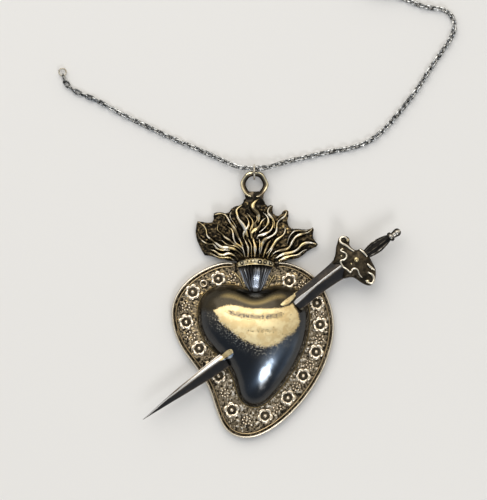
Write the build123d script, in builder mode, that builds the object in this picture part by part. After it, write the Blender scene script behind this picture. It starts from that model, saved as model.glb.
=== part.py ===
from build123d import *
import math
import os

# Sacred heart charm with a sword, on a fine cable chain, lying on its back.
# X runs to the right, Y towards the hanging loop and Z out of the front.
# The back of the plate is at Z 0, and the middle of the charm's box is at X 0, Y 0.

# Heart-shaped plate
plate_width = 40.8
plate_height = 44.3
plate_thickness = 1.0
plate_centre_x = -4.8
plate_centre_y = -12.2
vent_diameter = 1.0

# Wire round the edge of the plate, and the fine line inside it
rim_width = 0.55
rim_height = 0.8
border_gap = 0.4
border_width = 0.3
border_height = 0.35
border_opening = 11.6

# Hollow heart
band_width = 7.25
band_end = 7.75
dome_rise = 8.4
dome_wall = 0.7
dome_aside = 0.2
dome_up = 0.9
lip_width = 0.45
lip_stand = 0.5

# Flowers on the band
rosette_diameter = 3.3
rosette_petal = 1.15
rosette_height = 0.45
rosette_bead = 0.95
rosette_petals = 6
flower_diameter = 1.8
flower_wire = 0.4
flower_height = 0.35
flower_base = 0.15
flower_bead = 0.6

# Flames, the collar across their foot and the fluted neck below it
crown_width = 30.0
crown_height = 14.4
crown_sheet = 0.9
crown_lap = 1.4
crown_aside = 0.75
tongue_width = 2.3
tongue_height = 2.5
collar_width = 9.6
collar_height = 3.2
collar_length = 1.4
neck_length = 6.6
neck_top_width = 9.4
neck_top_height = 3.7
neck_tip_width = 1.2
neck_tip_height = 1.5
neck_flutes = 9

# Hanging loop
loop_radius = 3.4
loop_hole_radius = 2.1
loop_thickness = 1.4
loop_edge = 0.7
loop_level = 1.6
loop_up = 19.3
loop_aside = -0.35
stem_width = 3.8
stem_length = 1.6
stem_top = 2.2
tab_length = 9.5
tab_thickness = 0.8

# Sword: blade, guard, grip and pommel on one tang
blade_length = 62.7
blade_width = 4.6
blade_thickness = 1.7
blade_level = 4.4
blade_aside = 1.6
blade_reach = 33.0
blade_clearance = 0.06
sword_turn = 36.25
tang_radius = 0.42
tang_length = 15.8
tang_clearance = 0.05
guard_length = 6.1
guard_width = 3.6
guard_thickness = 2.0
guard_arm = 3.2
guard_arm_end = 1.5
guard_scroll_radius = 1.35
guard_scroll_set = 3.9
guard_left_reach = 6.3
guard_right_reach = 5.5
guard_eye_radius = 0.75
guard_eye_height = 0.25
guard_bead_radius = 0.75
grip_length = 7.7
grip_radius = 1.4
grip_end_radius = 0.8
grip_ring_radius = 1.2
grip_ring_length = 0.9
pommel_radius = 0.95
pommel_neck_radius = 0.65
pommel_neck_length = 0.5

# Jump ring through the hanging loop
ring_radius = 1.78
ring_wire = 0.45
ring_level = 2.05
ring_seam = 4.0
ring_in_loop = 0.33

# Cable chain
link_length = 2.5
link_width = 1.27
link_wire = 0.36
link_slack = 0.1
link_roll = 45.0
chain_level = 0.52
centre_link_up = 0.97
left_end_level = 0.68
tail_level = 0.75
roll_change = 9

# Coil of the chain that is put away, and its tail
coil_radius = 9.3
coil_pitch = 1.5
coil_rise = 1.5
coil_turns = 3
coil_x = 28.3
coil_y = 86.4
tail_length = 10.2

# Rings and spring ring clasp at the chain's ends
end_ring_radius = 0.9
end_ring_wire = 0.36
clasp_link_radius = 1.05
clasp_link_wire = 0.38
clasp_link_level = 1.28
clasp_level = 0.74
clasp_radius = 2.3
clasp_tube_radius = 0.7
clasp_bore_radius = 0.5
clasp_bolt_radius = 0.4
clasp_mouth = 50.0
clasp_socket = 13.0
clasp_cavity = 152.0
clasp_bolt_reach = 8.0
clasp_bolt_turn = 118.0
clasp_trigger_turn = 35.0
clasp_travel = 55.0
clasp_slot_play = 7.0
clasp_slot_width = 0.64
clasp_trigger_radius = 0.2
clasp_trigger_length = 1.1
clasp_trigger_ball = 0.36
clasp_spring_wall = 0.18
clasp_spring_play = 2.0
clasp_eye_radius = 0.72
clasp_eye_wire = 0.4

# Outline of the plate, as shares of its width and height, from its middle
plate_outline_shares = [
    (0.009, 0.477), (0.144, 0.498), (0.291, 0.469), (0.402, 0.393), (0.469, 0.283),
    (0.500, 0.147), (0.472, -0.022), (0.387, -0.191), (0.242, -0.358), (0.095, -0.462),
    (-0.046, -0.500), (-0.150, -0.465), (-0.218, -0.361), (-0.268, -0.225), (-0.350, -0.101),
    (-0.439, 0.012), (-0.490, 0.130), (-0.494, 0.249), (-0.433, 0.362), (-0.298, 0.458),
    (-0.150, 0.497),
]

# Outline of the hollow heart, as shares of its own width and length, and the heights
# at which that outline has shrunk towards the peak
dome_outline_shares = [
    (0.015, 0.443), (0.158, 0.483), (0.319, 0.493), (0.433, 0.435), (0.493, 0.326),
    (0.500, 0.187), (0.462, 0.017), (0.386, -0.143), (0.258, -0.317), (0.129, -0.448),
    (0.003, -0.500), (-0.085, -0.461), (-0.139, -0.343), (-0.200, -0.192), (-0.356, -0.022),
    (-0.474, 0.135), (-0.500, 0.274), (-0.465, 0.409), (-0.327, 0.497), (-0.137, 0.487),
]
dome_peak_shares = (0.0, 0.13)
dome_rise_shares = [(0.0, 1.0), (0.3, 0.985), (0.58, 0.9), (0.8, 0.73), (0.94, 0.48), (1.0, 0.2)]

# Places of the flowers, as shares of the line along the middle of the band
rosette_place_shares = [
    (-0.257, 0.488), (-0.448, 0.397), (-0.496, 0.192), (-0.399, 0.011), (-0.250, -0.191),
    (-0.156, -0.412), (0.093, -0.452), (0.262, -0.328), (0.377, -0.177), (0.474, -0.013),
    (0.504, 0.174), (0.480, 0.322), (0.272, 0.475),
]
flower_place_shares = [
    (-0.366, 0.456), (-0.499, 0.298), (-0.459, 0.096), (-0.156, 0.497), (-0.206, -0.297),
    (-0.046, -0.485), (0.183, -0.400), (0.327, -0.252), (0.429, -0.102), (0.499, 0.076),
    (0.503, 0.252), (0.374, 0.440),
]

# Flame crown, as shares of its width and height, from the middle of its foot
crown_outline_shares = [
    (-0.129, 0.000), (-0.279, 0.010), (-0.362, 0.087), (-0.454, 0.209), (-0.429, 0.330),
    (-0.487, 0.459), (-0.446, 0.591), (-0.487, 0.704), (-0.388, 0.661), (-0.346, 0.817),
    (-0.254, 0.783), (-0.212, 0.890), (-0.171, 0.860), (-0.121, 0.950), (-0.071, 0.900),
    (0.062, 0.900), (0.138, 0.970), (0.171, 0.852), (0.212, 0.826), (0.263, 0.904),
    (0.263, 0.696), (0.287, 0.539), (0.483, 0.600), (0.446, 0.417), (0.512, 0.313),
    (0.438, 0.191), (0.388, 0.062), (0.304, 0.062), (0.246, 0.010), (0.138, 0.000),
]

# Each tongue of flame: its foot, its bend and its tip
tongue_shares = [
    ((-0.113, 0.070), (-0.329, 0.296), (-0.487, 0.704)),
    ((-0.113, 0.052), (-0.354, 0.226), (-0.487, 0.459)),
    ((-0.104, 0.052), (-0.279, 0.104), (-0.454, 0.209)),
    ((-0.071, 0.070), (-0.221, 0.470), (-0.346, 0.817)),
    ((-0.037, 0.070), (-0.104, 0.522), (-0.129, 0.957)),
    ((0.004, 0.070), (0.013, 0.570), (0.013, 0.930)),
    ((0.037, 0.070), (0.096, 0.557), (0.138, 0.980)),
    ((0.071, 0.070), (0.221, 0.452), (0.263, 0.904)),
    ((0.104, 0.070), (0.304, 0.313), (0.483, 0.600)),
    ((0.113, 0.052), (0.338, 0.174), (0.512, 0.313)),
    ((0.104, 0.052), (0.246, 0.080), (0.388, 0.080)),
    ((-0.021, 0.070), (-0.062, 0.383), (-0.071, 0.713)),
    ((0.021, 0.070), (0.054, 0.383), (0.071, 0.765)),
    ((0.071, 0.052), (0.179, 0.261), (0.237, 0.522)),
    ((-0.062, 0.052), (-0.146, 0.261), (-0.212, 0.574)),
    ((-0.071, 0.050), (-0.179, 0.157), (-0.279, 0.287)),
    ((0.087, 0.050), (0.204, 0.139), (0.329, 0.261)),
]
# Along a tongue: place, width and height
tongue_section_shares = [(0.0, 0.8, 1.0), (0.35, 1.0, 0.95), (0.7, 0.66, 0.7), (1.0, 0.12, 0.42)]

# Along the neck: place, width and height between its top and its tip
neck_section_shares = [(0.0, 1.0, 1.0), (0.25, 0.8, 0.9), (0.52, 0.58, 0.8), (0.8, 0.3, 0.5), (1.0, 0.0, 0.0)]
flute_depth_share = 0.07

# Along the blade: place, width and thickness
blade_section_shares = [
    (0.0, 0.04, 0.12), (0.075, 0.15, 0.3), (0.2, 0.47, 0.5), (0.29, 0.63, 0.65), (0.45, 0.7, 0.75),
    (0.78, 0.8, 0.9), (1.0, 1.0, 1.0),
]

# Least part of the shorter run that an arc of the chain's route takes, and the tail's
# points as shares of its length and of its fall from the coil's top
route_arc_share = 0.45
tail_route_shares = [(0.3, 0.0), (0.72, 1.0), (1.0, 1.0)]

# Routes of the chain's free stretches, from the jump ring outwards
left_route = [
    (-7.6, 33.35, 1.85), (-10.4, 34.4, 1.2), (-13.4, 35.8, 0.7), (-18.0, 37.9, chain_level),
    (-25.0, 40.8, chain_level), (-31.7, 44.0, chain_level), (-38.2, 47.2, chain_level),
    (-43.5, 50.2, chain_level), (-47.3, 51.8, chain_level), (-49.9, 52.9, chain_level),
    (-51.8, 54.7, left_end_level), (-52.5, 57.4, left_end_level),
]
right_route = [
    (-1.2, 33.4, 1.85), (1.6, 34.3, 1.2), (4.4, 35.2, 0.7), (8.5, 36.1, chain_level),
    (14.5, 37.5, chain_level), (20.0, 38.4, chain_level), (24.5, 40.0, chain_level),
    (28.5, 43.2, chain_level), (32.0, 47.4, chain_level), (35.8, 52.1, chain_level),
    (39.3, 57.6, chain_level), (42.0, 61.7, chain_level), (44.5, 65.1, chain_level),
    (46.0, 68.3, chain_level), (45.5, 71.4, chain_level), (43.0, 73.4, chain_level),
    (39.8, 73.6, chain_level), (37.0, 74.3, chain_level), (34.3, 75.5, chain_level),
    (31.5, 76.6, chain_level),
]

os.makedirs("parts", exist_ok=True)


# Places worked out from the sizes above

plate_middle = (plate_centre_x, plate_centre_y)
foot = (plate_centre_x + crown_aside, plate_centre_y + plate_height / 2)
dome_width = plate_width - 2 * band_width
dome_length = plate_height - 2 * band_end
dome_middle = (plate_centre_x + dome_aside, plate_centre_y + dome_up)
loop_middle = Vector(foot[0] + loop_aside, foot[1] + loop_up, loop_level)


def placed(middle, width, height, shares):
    return [(middle[0] + width * x, middle[1] + height * y) for x, y in shares]


# Moves each point of a clockwise outline square to its neighbours' chord, inwards or outwards


def drawn_in(points, amount):
    moved = []
    for before, point, after in zip(points[-1:] + points[:-1], points, points[1:] + points[:1]):
        along = Vector(after[0] - before[0], after[1] - before[1]).normalized()
        moved.append((point[0] + along.Y * amount, point[1] - along.X * amount))
    return moved


def outline_sketch(points, level=0):
    with BuildSketch(Plane.XY.offset(level)) as outline:
        with BuildLine():
            Spline(*points, periodic=True)
        make_face()
    return outline.sketch


# Base plate, with a small vent behind the hollow heart

plate_outline = placed(plate_middle, plate_width, plate_height, plate_outline_shares)

with BuildPart() as base_plate:
    add(outline_sketch(plate_outline))
    extrude(amount=plate_thickness)
    with Locations((dome_middle[0], dome_middle[1], plate_thickness)):
        Hole(radius=vent_diameter / 2, depth=plate_thickness)
base_plate.part.label = "base_plate"
export_step(base_plate.part, "parts/base_plate.step")


# Raised wire round the edge, and the fine line inside it: both stop beside the neck


def border(inset, width, height):
    with BuildPart() as ring:
        extrude(outline_sketch(drawn_in(plate_outline, inset), plate_thickness), amount=height)
        inner = outline_sketch(drawn_in(plate_outline, inset + width), plate_thickness)
        extrude(inner, amount=height, mode=Mode.SUBTRACT)
        with BuildSketch(Plane.XY.offset(plate_thickness)):
            with Locations(foot):
                Rectangle(border_opening, neck_length)
        extrude(amount=height, mode=Mode.SUBTRACT)
    return ring.part


rim_wire = border(0, rim_width, rim_height)
rim_wire.label = "rim_wire"
export_step(rim_wire, "parts/rim_wire.step")

inner_border = border(rim_width + border_gap, border_width, border_height)
inner_border.label = "inner_border"
export_step(inner_border, "parts/inner_border.step")


# Places along the sword, which runs from its tip towards the pommel

sword_along = Vector(math.cos(math.radians(sword_turn)), math.sin(math.radians(sword_turn)), 0)
sword_side = Vector(-sword_along.Y, sword_along.X, 0)
sword_tip = Vector(*dome_middle, blade_level) + sword_side * blade_aside - sword_along * blade_reach
sword_plane = Plane(origin=sword_tip, x_dir=sword_along, z_dir=(0, 0, 1))
guard_start = blade_length
grip_start = guard_start + guard_length
grip_ring_start = grip_start + grip_length
pommel_start = grip_ring_start + grip_ring_length


def sword_station(distance):
    return Plane(origin=sword_tip + sword_along * distance, x_dir=sword_side, z_dir=sword_along)


def blade_sections(grow):
    sections = []
    for place, width, thickness in blade_section_shares:
        half_width = blade_width * width / 2 + grow
        half_thickness = blade_thickness * thickness / 2 + grow
        with BuildSketch(sword_station(blade_length * place)) as section:
            Polygon(
                (-half_width, 0), (0, -half_thickness), (half_width, 0), (0, half_thickness),
                align=None,
            )
        sections.append(section.sketch)
    return sections


def dome_sections(grow):
    sections = []
    peak = placed(dome_middle, dome_width, dome_length, [dome_peak_shares])[0]
    for rise, shrink in dome_rise_shares:
        middle = [peak[i] + (dome_middle[i] - peak[i]) * shrink for i in range(2)]
        points = placed(middle, dome_width * shrink, dome_length * shrink, dome_outline_shares)
        level = plate_thickness + (dome_rise + grow) * rise
        sections.append(outline_sketch(drawn_in(points, -grow * shrink), level))
    return sections


# Hollow heart, with raised lips where the blade goes in and comes out

with BuildPart() as heart_dome:
    loft(dome_sections(lip_stand))
    loft(blade_sections(blade_clearance + lip_width), ruled=True, mode=Mode.INTERSECT)
    loft(dome_sections(0))
    loft(dome_sections(-dome_wall), mode=Mode.SUBTRACT)
    loft(blade_sections(blade_clearance), ruled=True, mode=Mode.SUBTRACT)
heart_dome.part.label = "heart_dome"
export_step(heart_dome.part, "parts/heart_dome.step")


# Rosettes and small flowers, soldered along the middle of the band

band_line = (plate_middle, plate_width - band_width, plate_height - band_end)

with BuildPart(Plane.XY.offset(plate_thickness)) as rosette:
    with BuildSketch(Plane.XY.offset(plate_thickness)):
        Circle(rosette_diameter / 2 - rosette_petal / 2)
        with PolarLocations(rosette_diameter / 2 - rosette_petal / 2, rosette_petals):
            Circle(rosette_petal / 2)
    extrude(amount=rosette_height)
    with Locations((0, 0, rosette_height)):
        Sphere(rosette_bead / 2, arc_size1=0, align=(Align.CENTER, Align.CENTER, Align.MIN))

with BuildPart() as rosettes:
    with Locations(*placed(*band_line, rosette_place_shares)):
        add(rosette.part)
rosettes.part.label = "rosettes"
export_step(rosettes.part, "parts/rosettes.step")

with BuildPart(Plane.XY.offset(plate_thickness)) as flower:
    Cylinder(flower_diameter / 2, flower_height, align=(Align.CENTER, Align.CENTER, Align.MIN))
    with Locations((0, 0, flower_base)):
        Cylinder(
            flower_diameter / 2 - flower_wire, flower_height,
            align=(Align.CENTER, Align.CENTER, Align.MIN), mode=Mode.SUBTRACT,
        )
        Sphere(flower_bead / 2, arc_size1=0, align=(Align.CENTER, Align.CENTER, Align.MIN))

with BuildPart() as small_flowers:
    with Locations(*placed(*band_line, flower_place_shares)):
        add(flower.part)
small_flowers.part.label = "small_flowers"
export_step(small_flowers.part, "parts/small_flowers.step")


# Flame crown: a back sheet with ridged tongues on it, and a lap onto the plate


def tongue_sections(foot_point, bend_point, tip_point):
    sections = []
    for place, width, height in tongue_section_shares:
        point = foot_point * (1 - place) ** 2 + bend_point * 2 * place * (1 - place) + tip_point * place**2
        along = ((bend_point - foot_point) * (1 - place) + (tip_point - bend_point) * place).normalized()
        half_width = tongue_width * width / 2
        plane = Plane(origin=point, x_dir=(-along.Y, along.X, 0), z_dir=along)
        with BuildSketch(plane) as section:
            Polygon((-half_width, 0), (half_width, 0), (0, tongue_height * height), align=None)
        sections.append(section.sketch)
    return sections


with BuildPart() as flame_crown:
    with BuildSketch(Plane.XY.offset(plate_thickness)):
        Polygon(*placed(foot, crown_width, crown_height, crown_outline_shares), align=None)
        with Locations(foot):
            Rectangle(collar_width, crown_lap, align=(Align.CENTER, Align.MAX))
    extrude(amount=crown_sheet)
    for points in tongue_shares:
        spots = [Vector(*spot, plate_thickness) for spot in placed(foot, crown_width, crown_height, points)]
        loft(tongue_sections(*spots), ruled=True)
flame_crown.part.label = "flame_crown"
export_step(flame_crown.part, "parts/flame_crown.step")


# Collar band across the foot of the flames, on the crown's lap

collar_foot = (foot[0], foot[1] - crown_lap, plate_thickness + crown_sheet)

with BuildPart() as collar_band:
    with BuildSketch(Plane(collar_foot, x_dir=(1, 0, 0), z_dir=(0, -1, 0))):
        Ellipse(collar_width / 2, collar_height)
        Rectangle(collar_width, collar_height, align=(Align.CENTER, Align.MAX), mode=Mode.SUBTRACT)
    extrude(amount=-collar_length)
collar_band.part.label = "collar_band"
export_step(collar_band.part, "parts/collar_band.step")


# Fluted neck between the collar and the cleft of the heart


def neck_section(place, width_part, height_part):
    half_width = (neck_tip_width + (neck_top_width - neck_tip_width) * width_part) / 2
    height = neck_tip_height + (neck_top_height - neck_tip_height) * height_part
    middle = (foot[0], foot[1] - crown_lap - neck_length * place, plate_thickness)

    def at(turn, shrink):
        angle = math.pi * turn / neck_flutes
        return (half_width * shrink * math.cos(angle), height * shrink * math.sin(angle))

    with BuildSketch(Plane(middle, x_dir=(1, 0, 0), z_dir=(0, -1, 0))) as section:
        with BuildLine():
            for flute in range(neck_flutes):
                ThreePointArc(at(flute, 1), at(flute + 1 / 2, 1 - flute_depth_share), at(flute + 1, 1))
            Line(at(neck_flutes, 1), at(0, 1))
        make_face()
    return section.sketch


with BuildPart() as fluted_neck:
    loft([neck_section(*row) for row in neck_section_shares], ruled=True)
fluted_neck.part.label = "fluted_neck"
export_step(fluted_neck.part, "parts/fluted_neck.step")


# Hanging loop: a ridged ring, its stem, and a tab soldered behind the crown

loop_middle_radius = (loop_radius + loop_hole_radius) / 2
stem_end = loop_middle.Y - loop_radius - stem_length

with BuildPart() as hanging_loop:
    with BuildSketch(Plane(loop_middle, x_dir=(1, 0, 0), z_dir=(0, -1, 0))):
        Polygon(
            (loop_hole_radius, -loop_edge / 2),
            (loop_middle_radius, -loop_thickness / 2),
            (loop_radius, -loop_edge / 2),
            (loop_radius, loop_edge / 2),
            (loop_middle_radius, loop_thickness / 2),
            (loop_hole_radius, loop_edge / 2),
            align=None,
        )
    revolve(axis=Axis(loop_middle, (0, 0, 1)))
    with BuildSketch(Plane.XY.offset(plate_thickness - tab_thickness)):
        with Locations((loop_middle.X, stem_end)):
            stem_reach = loop_middle.Y - loop_middle_radius - stem_end
            Rectangle(stem_width, stem_reach, align=(Align.CENTER, Align.MIN))
    extrude(amount=stem_top - plate_thickness + tab_thickness)
    with BuildSketch(Plane.XY.offset(plate_thickness)):
        with Locations((loop_middle.X, stem_end)):
            Rectangle(stem_width, tab_length, align=(Align.CENTER, Align.MAX))
    extrude(amount=-tab_thickness)
hanging_loop.part.label = "hanging_loop"
export_step(hanging_loop.part, "parts/hanging_loop.step")


# Sword blade, with the tang that holds the hilt together

with BuildPart() as sword_blade:
    loft(blade_sections(0), ruled=True)
    with BuildSketch(sword_station(blade_length)):
        Circle(tang_radius)
    extrude(amount=tang_length)
sword_blade.part.label = "sword_blade"
export_step(sword_blade.part, "parts/sword_blade.step")


def tang_bore(start, length):
    with BuildSketch(sword_station(start)) as bore:
        Circle(tang_radius + tang_clearance)
    return extrude(bore.sketch, amount=length, mode=Mode.PRIVATE)


# Guard, with an arm and a scroll to each side

guard_middle = guard_start + guard_length / 2
scroll_spots = [
    (guard_start + guard_scroll_set, guard_left_reach),
    (guard_start + guard_scroll_set, -guard_right_reach),
]

with BuildPart() as sword_guard:
    with BuildSketch(sword_plane.offset(-guard_thickness / 2)):
        with Locations((guard_middle, 0)):
            Rectangle(guard_length, guard_width)
        for scroll in scroll_spots:
            Polygon(
                (guard_middle - guard_arm / 2, 0), (guard_middle + guard_arm / 2, 0),
                (scroll[0] + guard_arm_end / 2, scroll[1]), (scroll[0] - guard_arm_end / 2, scroll[1]),
                align=None,
            )
        with Locations(*scroll_spots):
            Circle(guard_scroll_radius)
    extrude(amount=guard_thickness)
    with BuildSketch(sword_plane.offset(-guard_thickness / 2 - guard_eye_height)):
        with Locations(*scroll_spots):
            Circle(guard_eye_radius)
    extrude(amount=guard_thickness + 2 * guard_eye_height)
    add(tang_bore(guard_start, guard_length), mode=Mode.SUBTRACT)
sword_guard.part.label = "sword_guard"
export_step(sword_guard.part, "parts/sword_guard.step")

with BuildPart(sword_plane.offset(guard_thickness / 2)) as guard_bead:
    with Locations((guard_middle, 0)):
        Sphere(guard_bead_radius, arc_size1=0, align=(Align.CENTER, Align.CENTER, Align.MIN))
guard_bead.part.label = "guard_bead"
export_step(guard_bead.part, "parts/guard_bead.step")


# Grip, its ring and the pommel, threaded on the tang

sword_axis = Axis(sword_tip, sword_along)

with BuildPart() as sword_grip:
    with BuildSketch(sword_plane):
        with BuildLine():
            Polyline(
                (grip_start, grip_end_radius), (grip_start, 0),
                (grip_start + grip_length, 0), (grip_start + grip_length, grip_end_radius),
            )
            ThreePointArc(
                (grip_start, grip_end_radius), (grip_start + grip_length / 2, grip_radius),
                (grip_start + grip_length, grip_end_radius),
            )
        make_face()
    revolve(axis=sword_axis)
    add(tang_bore(grip_start, grip_length), mode=Mode.SUBTRACT)
sword_grip.part.label = "sword_grip"
export_step(sword_grip.part, "parts/sword_grip.step")

with BuildPart() as grip_ring:
    with BuildSketch(sword_station(grip_ring_start)):
        Circle(grip_ring_radius)
    extrude(amount=grip_ring_length)
    fillet(grip_ring.edges(), radius=grip_ring_length / 3)
    add(tang_bore(grip_ring_start, grip_ring_length), mode=Mode.SUBTRACT)
grip_ring.part.label = "grip_ring"
export_step(grip_ring.part, "parts/grip_ring.step")

pommel_middle = pommel_start + pommel_neck_length + math.sqrt(pommel_radius**2 - pommel_neck_radius**2)

with BuildPart() as pommel:
    with BuildSketch(sword_station(pommel_start)):
        Circle(pommel_neck_radius)
    extrude(amount=pommel_middle - pommel_start)
    with Locations(sword_station(pommel_middle)):
        Sphere(pommel_radius)
    tang_reach = blade_length + tang_length + tang_clearance - pommel_start
    add(tang_bore(pommel_start, tang_reach), mode=Mode.SUBTRACT)
pommel.part.label = "pommel"
export_step(pommel.part, "parts/pommel.step")


# Jump ring, bent shut round the top of the hanging loop

ring_middle = Vector(loop_middle.X, loop_middle.Y + loop_middle_radius + ring_in_loop, ring_level)

with BuildPart() as jump_ring:
    with BuildSketch(Plane(ring_middle, x_dir=(0, 1, 0), z_dir=(0, 0, 1))):
        with Locations((-ring_radius, 0)):
            Circle(ring_wire / 2)
    revolve(axis=Axis(ring_middle, (1, 0, 0)), revolution_arc=360 - ring_seam)
jump_ring.part.label = "jump_ring"
export_step(jump_ring.part, "parts/jump_ring.step")


# One link of the chain, flat in XY with its length along X

link_side = (link_width - link_wire) / 2
link_straight = (link_length - link_width) / 2
link_step = link_length - 2 * link_wire - link_slack

with BuildPart() as link:
    with BuildLine() as link_line:
        upper = Line((-link_straight, link_side), (link_straight, link_side))
        ThreePointArc(upper @ 1, (link_straight + link_side, 0), (link_straight, -link_side))
        lower = Line((link_straight, -link_side), (-link_straight, -link_side))
        ThreePointArc(lower @ 1, (-link_straight - link_side, 0), upper @ 0)
    with BuildSketch(Plane(upper @ 0, z_dir=upper % 0)):
        Circle(link_wire / 2)
    sweep(path=link_line.wire())


def link_place(point, along, roll):
    side = along.cross(Vector(0, 0, 1)).normalized()
    upright = side.cross(along)
    face = upright * math.cos(math.radians(roll)) + side * math.sin(math.radians(roll))
    return Location(Plane(origin=point, x_dir=along, z_dir=face))


# The links' roll alternates, and near the end it shifts until the last link is upright or flat


def link_rolls(count, sign, upright):
    last_roll = sign * link_roll * (-1) ** count
    end_shift = last_roll if upright else -last_roll
    rolls = []
    for number in range(1, count + 1):
        shift = end_shift * max(0, number - count + roll_change) / roll_change
        rolls.append(sign * link_roll * (-1) ** number + shift)
    return rolls


def route_line(points):
    spots = [Vector(*point) for point in points]
    radii = []
    for before, corner, after in zip(spots, spots[1:], spots[2:]):
        turn = (corner - before).get_angle(after - corner)
        run = min((corner - before).length, (after - corner).length)
        radii.append(route_arc_share * run / math.tan(math.radians(turn / 2)))
    with BuildLine() as route:
        FilletPolyline(*spots, radius=radii)
    return route.wire(), radii


def route_place(route, distance):
    point = route.position_at(distance, position_mode=PositionMode.LENGTH)
    along = route.tangent_at(distance, position_mode=PositionMode.LENGTH)
    return point, along


def linked(places):
    with BuildPart() as links:
        with Locations(*places):
            add(link.part)
    return links.part


# Centre link, which hangs in the jump ring, and the left stretch of the chain

centre_point = ring_middle + Vector(0, centre_link_up, 0)

centre_link = linked([link_place(centre_point, Vector(1, 0, 0), link_roll)])
centre_link.label = "centre_link"
export_step(centre_link, "parts/centre_link.step")

left_line, left_radii = route_line([centre_point, *left_route])
left_count = int(left_line.length / link_step)
left_places = []
for number, roll in enumerate(link_rolls(left_count, -1, True), 1):
    left_places.append(link_place(*route_place(left_line, number * link_step), roll))

left_chain_links = linked(left_places)
left_chain_links.label = "left_chain_links"
export_step(left_chain_links, "parts/left_chain_links.step")


# The coil lies flat: it winds inwards from its outer turn, climbs a layer in half a turn
# and winds outwards again over itself, turning clockwise all the way

coil_middle = Vector(coil_x, coil_y, 0)
inner_radius = coil_radius - coil_pitch * coil_turns
layer_length = math.pi * coil_turns * (coil_radius + inner_radius)
climb_length = math.pi * inner_radius
coil_length = 2 * layer_length + climb_length
coil_level = chain_level + coil_rise


def spiral_turn(radius, growth, distance):
    rate = growth / (2 * math.pi)
    return (math.sqrt(radius**2 + 2 * rate * distance) - radius) / rate


def coil_place(distance):
    growth, climb = coil_pitch / (2 * math.pi), 0
    radius, turn, level = inner_radius, -math.pi / 2, chain_level
    if distance <= layer_length:
        wound = spiral_turn(coil_radius, -coil_pitch, distance)
        radius = coil_radius - growth * wound
        turn -= wound
        growth = -growth
    elif distance <= layer_length + climb_length:
        wound = (distance - layer_length) / inner_radius
        turn -= 2 * math.pi * coil_turns + wound
        growth, climb = 0, coil_rise * math.sin(wound) / 2
        level += coil_rise * (1 - math.cos(wound)) / 2
    else:
        wound = spiral_turn(inner_radius, coil_pitch, distance - layer_length - climb_length)
        radius += growth * wound
        turn -= 2 * math.pi * coil_turns + math.pi + wound
        level = coil_level
    outwards = Vector(math.cos(turn), math.sin(turn), 0)
    onwards = Vector(math.sin(turn), -math.cos(turn), 0)
    point = coil_middle + outwards * radius + Vector(0, 0, level)
    return point, (onwards * radius + outwards * growth + Vector(0, 0, climb)).normalized()


# Right stretch of the chain, which runs into the coil, and the tail that leaves it

coil_start = coil_place(0)[0]
coil_end = coil_place(coil_length)[0]
right_line, right_radii = route_line([centre_point, *right_route, coil_start])
tail_fall = tail_level - coil_level
tail_route = [coil_end + Vector(tail_length * run, 0, tail_fall * fall) for run, fall in tail_route_shares]
tail_line, tail_radii = route_line([coil_end, *tail_route])


def right_place(distance):
    if distance <= right_line.length:
        return route_place(right_line, distance)
    if distance <= right_line.length + coil_length:
        return coil_place(distance - right_line.length)
    return route_place(tail_line, distance - right_line.length - coil_length)


right_count = int((right_line.length + coil_length + tail_line.length) / link_step)
right_places = []
for number, roll in enumerate(link_rolls(right_count, 1, False), 1):
    right_places.append(link_place(*right_place(number * link_step), roll))
free_count = int(right_line.length / link_step)

right_chain_links = linked(right_places[:free_count])
right_chain_links.label = "right_chain_links"
export_step(right_chain_links, "parts/right_chain_links.step")

chain_coil = linked(right_places[free_count:])
chain_coil.label = "chain_coil"
export_step(chain_coil, "parts/chain_coil.step")


# Small flat ring at the left end of the chain, through its last upright link


def round_ring(middle, axis, radius, wire):
    plane = Plane(origin=middle, z_dir=axis)
    with BuildPart() as ring:
        with BuildSketch(Plane(origin=middle + plane.x_dir * radius, x_dir=plane.x_dir, z_dir=plane.y_dir)):
            Circle(wire / 2)
        revolve(axis=Axis(middle, axis))
    return ring.part


left_last, left_along = route_place(left_line, left_count * link_step)
end_ring_set = link_length / 2 - link_wire - link_slack / 2 - end_ring_wire / 2 + end_ring_radius
left_flat = Vector(left_along.X, left_along.Y, 0).normalized()

left_end_ring = round_ring(left_last + left_flat * end_ring_set, (0, 0, 1), end_ring_radius, end_ring_wire)
left_end_ring.label = "left_end_ring"
export_step(left_end_ring, "parts/left_end_ring.step")


# Upright ring between the last flat link of the tail and the eye of the clasp

right_last = right_place(right_count * link_step)[0]
tail_lean = math.asin((clasp_link_level - right_last.Z) / clasp_link_radius)
tail_touch = (link_wire + clasp_link_wire + link_slack) / 2 / math.cos(tail_lean)
clasp_link_x = right_last.X + (link_length - link_wire) / 2 - tail_touch
clasp_link_x += clasp_link_radius * math.cos(tail_lean)
clasp_link_middle = Vector(clasp_link_x, right_last.Y, clasp_link_level)

clasp_link = round_ring(clasp_link_middle, (0, 1, 0), clasp_link_radius, clasp_link_wire)
clasp_link.label = "clasp_link"
export_step(clasp_link, "parts/clasp_link.step")


# Spring ring clasp: a hollow ring with an open mouth, a sliding bolt and its spring

eye_lean = math.asin((clasp_link_level - clasp_level) / clasp_link_radius)
eye_touch = (clasp_eye_wire + clasp_link_wire + link_slack) / 2 / math.cos(eye_lean)
eye_x = clasp_link_middle.X + clasp_link_radius * math.cos(eye_lean) - eye_touch + clasp_eye_radius
eye_middle = Vector(eye_x, right_last.Y, clasp_level)
clasp_middle = eye_middle + Vector(clasp_eye_radius + clasp_tube_radius + clasp_radius, 0, 0)


def ring_station(turn):
    angle = math.radians(turn)
    outwards = Vector(math.cos(angle), math.sin(angle), 0)
    return Plane(clasp_middle + outwards * clasp_radius, x_dir=outwards, z_dir=outwards.cross(Vector(0, 0, 1)))


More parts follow.
